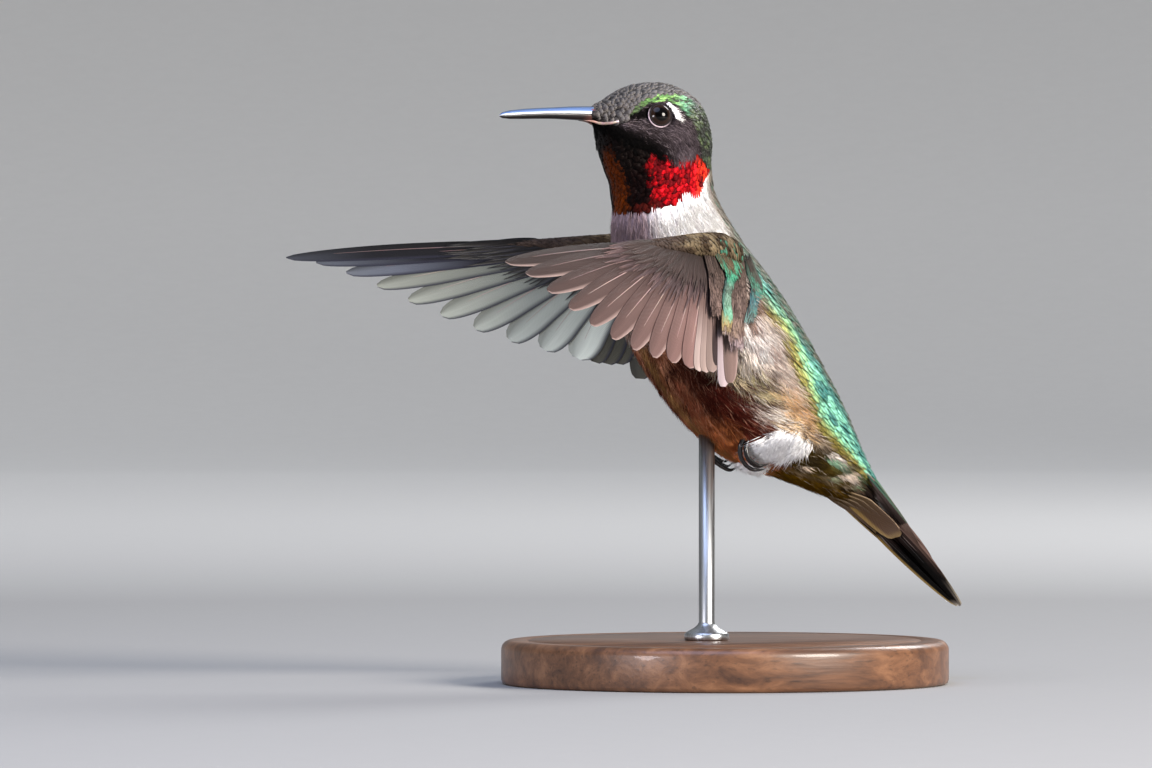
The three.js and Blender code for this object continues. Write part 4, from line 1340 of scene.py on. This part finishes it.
def edgeFeather(side):
    # the folded tail's narrow outermost feather along its side, from above the root
    return dict(root=(-2.6, side * 2.9), angle=side * math.radians(7), length=16.0,
                bend=side * math.radians(-12), outer=-side * 0.55, inner=-side * 0.55, tilt=-side * 1.25,
                lift=1.5, rise=-1.9, taperFrom=0.5, tipShare=0.06, fullAt=0.4, arch=0.06,
                colour=[(0, "#8d817b"), (0.3, "#6a5b56"), (0.75, "#574843"), (1, "#3f3029")],
                rims=[(0.5, 2, [(0, "#b5ada5"), (0.6, "#b0a69f"), (1, "#5b4d47")])], shaftColour="#4b4036")


rectrices = [rectrix(i, side) for side in (-1, 1) for i in range(1, 6)] + [edgeFeather(-1), edgeFeather(1)]
upperCoverts, lowerCoverts = ([tailCovert(i, side, upper) for side in (-1, 1)
                               for i in range(tail["coverts"] + 1)] for upper in (True, False))
vanes = layVanes("tail_feathers", tailPlace, rectrices, [tailWebMaterial] * 2, tail["web"])
settle(vanes, "tail_feathers", "tail")
for name, feathers, material in (("tail_coverts_upper", upperCoverts, tailWebMaterial),
                                 ("tail_coverts_lower", lowerCoverts, undertailMaterial)):
    settle(layVanes(name, tailPlace, feathers, [material] * 2, tail["covertWeb"]), "tail_feathers")
layShafts("tail_shafts", tailPlace, rectrices, tail["shaft"], "tail_feathers")
print("tail made")

# eyes

# wet eyeball: black pupil in a dark brown iris under a clear glossy cornea
eyeMaterial, tree, shader = newMaterial("wet_dark_eye", {"Roughness": 0.09, "IOR": 1.33,
                                                         "Specular IOR Level": 0.4})
iris = [(0.0, "#010101"), (0.15, "#020101"), (0.18, "#1c120c"), (0.28, "#20140f"), (0.34, "#040303")]
finish(tree, shader, colourRamp(tree, ownAxes(tree)[1]["Y"], iris))

# bare eyelid edge: dark inner lid, pale outer ring
matt = {"Roughness": 0.8, "Specular IOR Level": 0.15}
lidMaterial, tree, shader = newMaterial("pale_eyelid_skin", matt)
skinTone = colourRamp(tree, speckle(tree, 2200.0)["Fac"], [(0.3, "#b9b0b6"), (0.65, "#ffffff")])
finish(tree, shader, tinted(tree, ownColour(tree), skinTone))
rimMaterial, tree, shader = newMaterial("dark_eyelid_rim", {**matt, "Roughness": 0.6})
finish(tree, shader, colourRamp(tree, speckle(tree, 2500.0)["Fac"], [(0.3, "#0a0809"), (0.7, "#1f191b")]))

# each ring's radius, place along the eye's axis, half thickness and half height
lids = {"eyelid_rim_": (1.3, 1.02, 0.1, 0.12, rimMaterial),
        "eyelid_ring_": (eye["ring"], 0.9, 0.08, 0.1, lidMaterial)}


def facing(axis):
    return Vector((0, 0, 1)).rotation_difference(Vector(axis)).to_matrix()


def ringAround(name, side, radius, out, thick, tall, material):
    # a lid: a small section spun round the eye's axis
    middle, axis = eyePlace(side)
    bm = bmesh.new()
    bmesh.ops.create_circle(bm, segments=10, radius=1)
    bmesh.ops.scale(bm, verts=bm.verts[:], vec=(thick * mm, tall * mm, 1))
    bmesh.ops.rotate(bm, verts=bm.verts[:], cent=(0, 0, 0), matrix=Matrix.Rotation(math.pi / 2, 3, "X"))
    bmesh.ops.translate(bm, verts=bm.verts[:], vec=(radius * mm, 0, 0))
    bmesh.ops.spin(bm, geom=bm.verts[:] + bm.edges[:], cent=(0, 0, 0), axis=(0, 0, 1), steps=56,
                   angle=2 * math.pi, use_merge=True)
    closeUp(bm, fill=False)
    bmesh.ops.rotate(bm, verts=bm.verts[:], cent=(0, 0, 0), matrix=facing(axis))
    # pale below and in front, dark above and behind
    plume = bm.verts.layers.float_color.new("plume")
    for v in bm.verts:
        toward = (-v.co.x * 0.6 - v.co.z * 0.8) / (radius * mm)
        v[plume] = (*lerp(linear("#241f21"), linear("#c2b1b8"), float(smooth(toward, -0.2, 0.9))), 1)
    bmesh.ops.translate(bm, verts=bm.verts[:], vec=Vector((middle + axis * out) * mm))
    settle(meshPiece(name, bm, [material]), "eye")


for side, sideName in sides:
    middle, axis = eyePlace(side)
    turned = np.array(facing(axis))

    def ball(u, v):
        flat, round0 = np.pi * v, 2 * np.pi * u
        ring = np.sin(flat)
        unit = np.stack([ring * np.cos(round0), ring * np.sin(round0), np.cos(flat)], axis=-1)
        return middle + eye["radius"] * unit @ turned.T
    settle(mappedPiece("eyeball_" + sideName, 40, 28, ball, eyeMaterial), "eye", "eye_" + sideName)
    for name, lid in lids.items():
        ringAround(name + sideName, side, *lid)
print("eyes seated")

# bill

# half thickness and half width at distances from the tip
bill = dict(tipX=-33.0, rootX=-15.6, z=71.2, gap=0.05, bow=0.25, at=[0, 0.4, 1.5, 3.5, 8, 10.5, 14, 17.4],
            thick=[0.05, 0.3, 0.47, 0.56, 0.65, 0.76, 0.87, 0.75],
            wide=[0.05, 0.3, 0.45, 0.52, 0.6, 0.75, 0.93, 0.9])


def billPlace(upper):
    def place(u, v):
        far = (bill["rootX"] - bill["tipX"]) * (1 - v ** 0.9)
        depth, width = (np.interp(far, bill["at"], bill[part]) for part in ("thick", "wide"))
        line = bill["z"] - bill["bow"] + bill["bow"] * np.sin(np.pi * v ** 0.9)
        up = np.sin(2 * np.pi * u)
        if upper:
            z = np.maximum(up, -0.04) * depth * 1.15 + bill["gap"]
        else:
            z = np.minimum(up, 0.04) * depth * 0.9 - bill["gap"]
        return turnHead(np.stack([bill["tipX"] + far, width * np.cos(2 * np.pi * u), line + z], axis=-1))
    return place


# upper half of the bill: smooth horn sheath, painted with reflections: slate blue sky above and a bright
# painted highlight along the cutting edge
upperBillMaterial, tree, shader = newMaterial("bill_horn_painted_reflections", {"Roughness": 0.28, "Coat Weight": 0.5,
                                                                 "Coat Roughness": 0.15})
grain = speckle(tree, 1.0, 3.0, (120.0, 1600.0, 1600.0))["Fac"]
rise = maths(tree, "SINE", maths(tree, "MULTIPLY", ownAxes(tree)[1]["X"], 2 * math.pi))
# painted reflections round the bill: dark at the lower edge, a bright highlight along the cutting edge, blue
# sky above
horn = colourRamp(tree, rise, [(0.0, "#101216"), (0.05, "#6d7280"), (0.12, "#dfe3ec"), (0.26, "#aab6d2"),
                               (0.45, "#5a729f"), (0.8, "#3f5780"), (1.0, "#273748")])
finish(tree, shader, tinted(tree, horn, scaled(tree, grain, 0.4, 0.8)), grain, 0.15)

# lower half: black horn, pinkish brown towards the gape
lowerBillMaterial, tree, shader = newMaterial("black_bill_horn", {"Roughness": 0.32})
horn = colourRamp(tree, ownAxes(tree)[1]["Y"],
                  [(0.0, "#6b4038"), (0.2, "#4a2c26"), (0.28, "#1a1211"), (0.5, "#0b0a0a")])
finish(tree, shader, tinted(tree, horn, scaled(tree, speckle(tree, 1500.0, 3.0)["Fac"], 0.5, 0.75)))

for name, node, upper, material in (("upper_mandible", "bill_upper", True, upperBillMaterial),
                                    ("lower_mandible", "bill_lower", False, lowerBillMaterial)):
    settle(mappedPiece(name, 36, 70, billPlace(upper), material), "bill_horn", node)


def bareSkin(name, roughness, stops):
    # bare skin along a tube, its colours from one end to the other
    material, tree, shader = newMaterial(name, {"Roughness": roughness})
    tint = colourRamp(tree, ownAxes(tree)[1]["Y"], stops)
    finish(tree, shader, tinted(tree, tint, speckle(tree, 1800.0)["Color"], 0.5))
    return material


# corner of the mouth: a bare pinkish ridge on each side, and the slit of the nostril in front of it
gapeMaterial = bareSkin("gape_skin", 0.45,
                        [(0.0, "#3c2622"), (0.25, "#98756b"), (0.8, "#b39389"), (1.0, "#eadcd4")])
nostrilMaterial = bareSkin("nostril_membrane", 0.35, [(0.0, "#8d4a50"), (0.35, "#6e353b"), (0.5, "#0b0809")])


def overHead(k, degrees, side, height):
    # a place above the coat of the head
    k = np.array([k])
    return bodyPoint(k, np.radians([side * degrees]), coatDepth(k) + height)[0]


def atBill(x, out, z, side):
    return turnHead(np.array([x, side * out, z]))


for side, sideName in sides:
    ridgePath = [atBill(-21.0, 0.5, 70.4, side), atBill(-19.8, 0.72, 70.3, side),
                 overHead(0.2, 136, side, 0.12), overHead(0.75, 112, side, 0.12),
                 overHead(1.15, 100, side, 0.1)]
    tubePiece("gape_ridge_" + sideName, ridgePath, [0.05, 0.13, 0.19, 0.18, 0.12], gapeMaterial,
              slot="bill_horn")
    slitPath = [atBill(-19.9, 0.66, 71.75, side), atBill(-19.3, 0.85, 71.55, side),
                atBill(-18.8, 1.0, 71.25, side), overHead(0.3, 100, side, 0.05)]
    tubePiece("nostril_" + sideName, slitPath, [0.06, 0.14, 0.12, 0.04], nostrilMaterial, slot="bill_horn")
print("bill made")

# feet

# glossy black horny scales
footMaterial, tree, shader = newMaterial("black_foot_scutes", {"Roughness": 0.2, "Specular IOR Level": 0.5})
scutes = addNode(tree, "ShaderNodeTexVoronoi", {"Scale": 2600.0}, {"Vector": ownSpot(tree)})
scutes = scutes.outputs["Distance"]
finish(tree, shader, colourRamp(tree, scutes, [(0.1, "#060505"), (0.6, "#0f0d0d")]), scutes, 0.25)

footOut = 4.7
# each toe's path in x and z, how far it stands out sideways, and its thickness
toePaths = {
    -1: [([(0.4, 31.2), (-0.25, 29.7), (0.1, 28.1), (1.2, 27.05), (2.4, 26.8), (3.5, 26.95)], -0.45, 0.27),
         ([(0.6, 30.8), (0.3, 29.3), (0.7, 28.1), (1.5, 27.4), (2.3, 27.2), (3.0, 27.4)], 0.1, 0.22),
         ([(0.7, 30.8), (0.2, 29.6), (0.5, 28.4), (1.5, 27.6), (2.5, 27.4), (3.3, 27.6)], 0.6, 0.2)],
    1: [([(0.0, 30.6), (-0.6, 29.5), (0.5, 28.2), (1.8, 27.2), (3.2, 26.6), (4.4, 27.1)], -0.2, 0.3),
        ([(0.2, 30.6), (-0.3, 29.6), (0.7, 28.4), (2.0, 27.5), (3.1, 27.1), (4.0, 27.6)], 0.3, 0.24),
        ([(0.5, 30.6), (0.1, 29.7), (1.1, 28.6), (2.2, 27.9), (3.1, 27.7), (3.7, 28.0)], 0.8, 0.22)],
}
for side, sideName in sides:
    y = side * footOut
    leg = tubePiece("leg_" + sideName, [(1.0, y, 32.5), (0.7, y, 31.6), (0.4, y, 30.8)], [0.7, 0.5, 0.34],
                    footMaterial, rings=0.06)
    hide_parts("foot_" + sideName)
    for i, (path, out, thick) in enumerate(toePaths[side]):
        points = [(x, y + side * out * share, z) for (x, z), share in zip(path, (0.2, 0.7, 1, 1, 1, 1))]
        radii = [thick * share for share in (1.1, 1.1, 1, 0.9, 0.7, 0.12)]
        tubePiece("toe_" + sideName + "_" + str(i + 1), points, radii, footMaterial, rings=0.1)
print("feet made")

# stand

stand = dict(radius=28.0, height=5.5, edge=1.2, rodX=-2.6, rodTop=31.2, gap=0.05)
# oiled walnut, turned on a lathe: rings and pores, a soft gloss
woodMaterial, tree, shader = newMaterial("turned_walnut", {"Roughness": 0.42, "Coat Weight": 0.15})
grain = speckle(tree, 3.0, 6.0, (18.0, 150.0, 150.0), {"Roughness": 0.65, "Distortion": 0.6})["Fac"]
pore = speckle(tree, 1.0, 2.0, (120.0, 2200.0, 2200.0))["Fac"]
wood = colourRamp(tree, grain, [(0.3, "#3b2416"), (0.5, "#5d3d27"), (0.7, "#7a553a")])
dark = ranged(tree, pore, {"From Min": 0.58, "From Max": 0.72, "To Min": 1.0, "To Max": 0.6})
finish(tree, shader, tinted(tree, wood, dark), pore, 0.2, 0.1)

# drawn and brushed stainless steel: fine scratches along the rod
steelMaterial, tree, shader = newMaterial("brushed_steel", {"Metallic": 1.0})
scratch = speckle(tree, 1.0, 2.0, (4000.0, 4000.0, 60.0))["Fac"]
finish(tree, shader, colourRamp(tree, scratch, [(0.3, "#a4a7aa"), (0.7, "#c6c9cc")]))
tree.links.new(ranged(tree, scratch, {"To Min": 0.24, "To Max": 0.42}), shader.inputs["Roughness"])


def turnedPiece(name, outline, centre, material, steps):
    # a profile of radius and height, turned round the upright axis
    bm = bmesh.new()
    corners = [bm.verts.new((r * mm, 0, z * mm)) for r, z in outline]
    edges = [bm.edges.new(pair) for pair in zip(corners, corners[1:])]
    bmesh.ops.spin(bm, geom=corners + edges, cent=(0, 0, 0), axis=(0, 0, 1), steps=steps,
                   angle=2 * math.pi, use_merge=True)
    closeUp(bm, fill=False)
    bmesh.ops.translate(bm, verts=bm.verts[:], vec=Vector(centre) * mm)
    return meshPiece(name, bm, [material])


r, h, edge = stand["radius"], stand["height"], stand["edge"]
rounding = [(r - edge + edge * math.sin(a), h - edge + edge * math.cos(a))
            for a in np.linspace(math.pi / 2, 0, 8)]
outline = [(0, 0), (r - edge / 2, 0), (r - 0.15, edge / 6), (r, edge / 2)] + rounding + [
    (r - 3.0, h), (r - 3.3, h - 0.25), (r - 3.6, h), (8, h), (0, h)]
settle(turnedPiece("stand_disc", outline, (0, 0, 0), woodMaterial, 96), "stand_wood", "stand_base")
bottom = h + stand["gap"]
length = stand["rodTop"] - bottom
outline = [(0, 0), (2.7, 0), (2.8, 0.1), (2.8, 0.7), (2.6, 0.95), (1.6, 1.5), (1.15, 1.9), (1.0, 2.2),
           (1.0, length), (0, length)]
pole = turnedPiece("stand_pole", outline, (stand["rodX"], 0, bottom), steelMaterial, 48)
settle(pole, "stand_steel", "stand_rod")
print("stand made")

# stage, light and camera

# matt paper with a faint tooth: painted shade darkens it in the middle, where the lamps' light pools, paler
# further out and darker again far out on the wall
floorMaterial, tree, shader = newMaterial("pale_paper", {"Roughness": 0.9, "Specular IOR Level": 0.2})
away = addNode(tree, "ShaderNodeVectorMath", {"operation": "LENGTH"}, {0: ownSpot(tree)}).outputs["Value"]
paper = colourRamp(tree, maths(tree, "MULTIPLY", away, 0.4),
                   [(0.12, "#919190"), (0.42, "#f2f2f0"), (0.6, "#ececea"), (1.0, "#a4a4a2")])
tooth = scaled(tree, speckle(tree, 250.0, 3.0)["Fac"], 0.04, 0.98)
finish(tree, shader, tinted(tree, paper, tooth))
# a wide shallow bowl, its wall a smooth sweep up from the floor
sweep = dict(radius=2600.0, curve=1500.0, height=1600.0, steps=24)
flat = sweep["radius"] - sweep["curve"]
wall = [(flat + sweep["curve"] * math.sin(a), sweep["curve"] * (1 - math.cos(a)))
        for a in np.linspace(0, math.pi / 2, sweep["steps"])]
outline = [(0, 0)] + wall + [(sweep["radius"], sweep["height"])]
floor = turnedPiece("floor", outline, (0, 0, 0), floorMaterial, 96)
if floor.data.polygons[0].normal.z < 0:
    floor.data.flip_normals()

view = dict(azimuth=math.radians(-28), elevation=math.radians(1), distance=1500.0, lens=375.0, sensor=36.0,
            aimAcross=-18.625, aimUp=37.5, near=0.05, far=10)
a, e = view["azimuth"], view["elevation"]
right = Vector((math.cos(a), math.sin(a), 0))
backward = Vector((math.sin(a) * math.cos(e), -math.cos(a) * math.cos(e), math.sin(e)))
upward = backward.cross(right)
aim = right * view["aimAcross"] + Vector((0, 0, view["aimUp"]))
cameraData = bpy.data.cameras.new("camera")
cameraData.lens = view["lens"]
cameraData.sensor_width = view["sensor"]
cameraData.clip_start = view["near"]
cameraData.clip_end = view["far"]
camera = bpy.data.objects.new("camera", cameraData)
camera.matrix_world = Matrix.Translation((aim + backward * view["distance"]) * mm) @ Matrix(
    (right, upward, backward)).transposed().to_4x4()
bpy.context.collection.objects.link(camera)
bpy.context.scene.camera = camera

# metres from the target, seen from the camera; size in metres and power in watts
lights = {
    "key": dict(across=0.72, toward=0.62, up=0.32, size=0.45, power=25.0, colour="#fff6ec"),
    "sky": dict(across=-0.15, toward=0.35, up=0.75, size=0.7, power=5.0, colour="#bcd0ff"),
    "fill": dict(across=-0.5, toward=0.58, up=0.07, size=0.2, power=3.2, colour="#faf7ff"),
    "rim": dict(across=0.4, toward=-0.55, up=0.5, size=0.35, power=4.0, colour="#ffffff"),
}
target = Vector((-0.006, 0, 0.045))
for name, spec in lights.items():
    data = bpy.data.lights.new(name, "AREA")
    data.shape = "DISK"
    data.size = spec["size"]
    data.energy = spec["power"]
    data.color = linear(spec["colour"])
    lamp = bpy.data.objects.new(name, data)
    lamp.location = target + right * spec["across"] + backward * spec["toward"] + Vector((0, 0, spec["up"]))
    lamp.rotation_euler = (lamp.location - target).to_track_quat("Z", "Y").to_euler()
    bpy.context.collection.objects.link(lamp)
studio = dict(colour="#e9edf2", strength=0.4)
world = bpy.data.worlds.new("studio")
bpy.context.scene.world = world
bpy.context.scene.view_settings.view_transform = "Standard"
world.use_nodes = True
background = world.node_tree.nodes["Background"]
background.inputs["Color"].default_value = rgba(studio["colour"])
background.inputs["Strength"].default_value = studio["strength"]
print("stage lit")
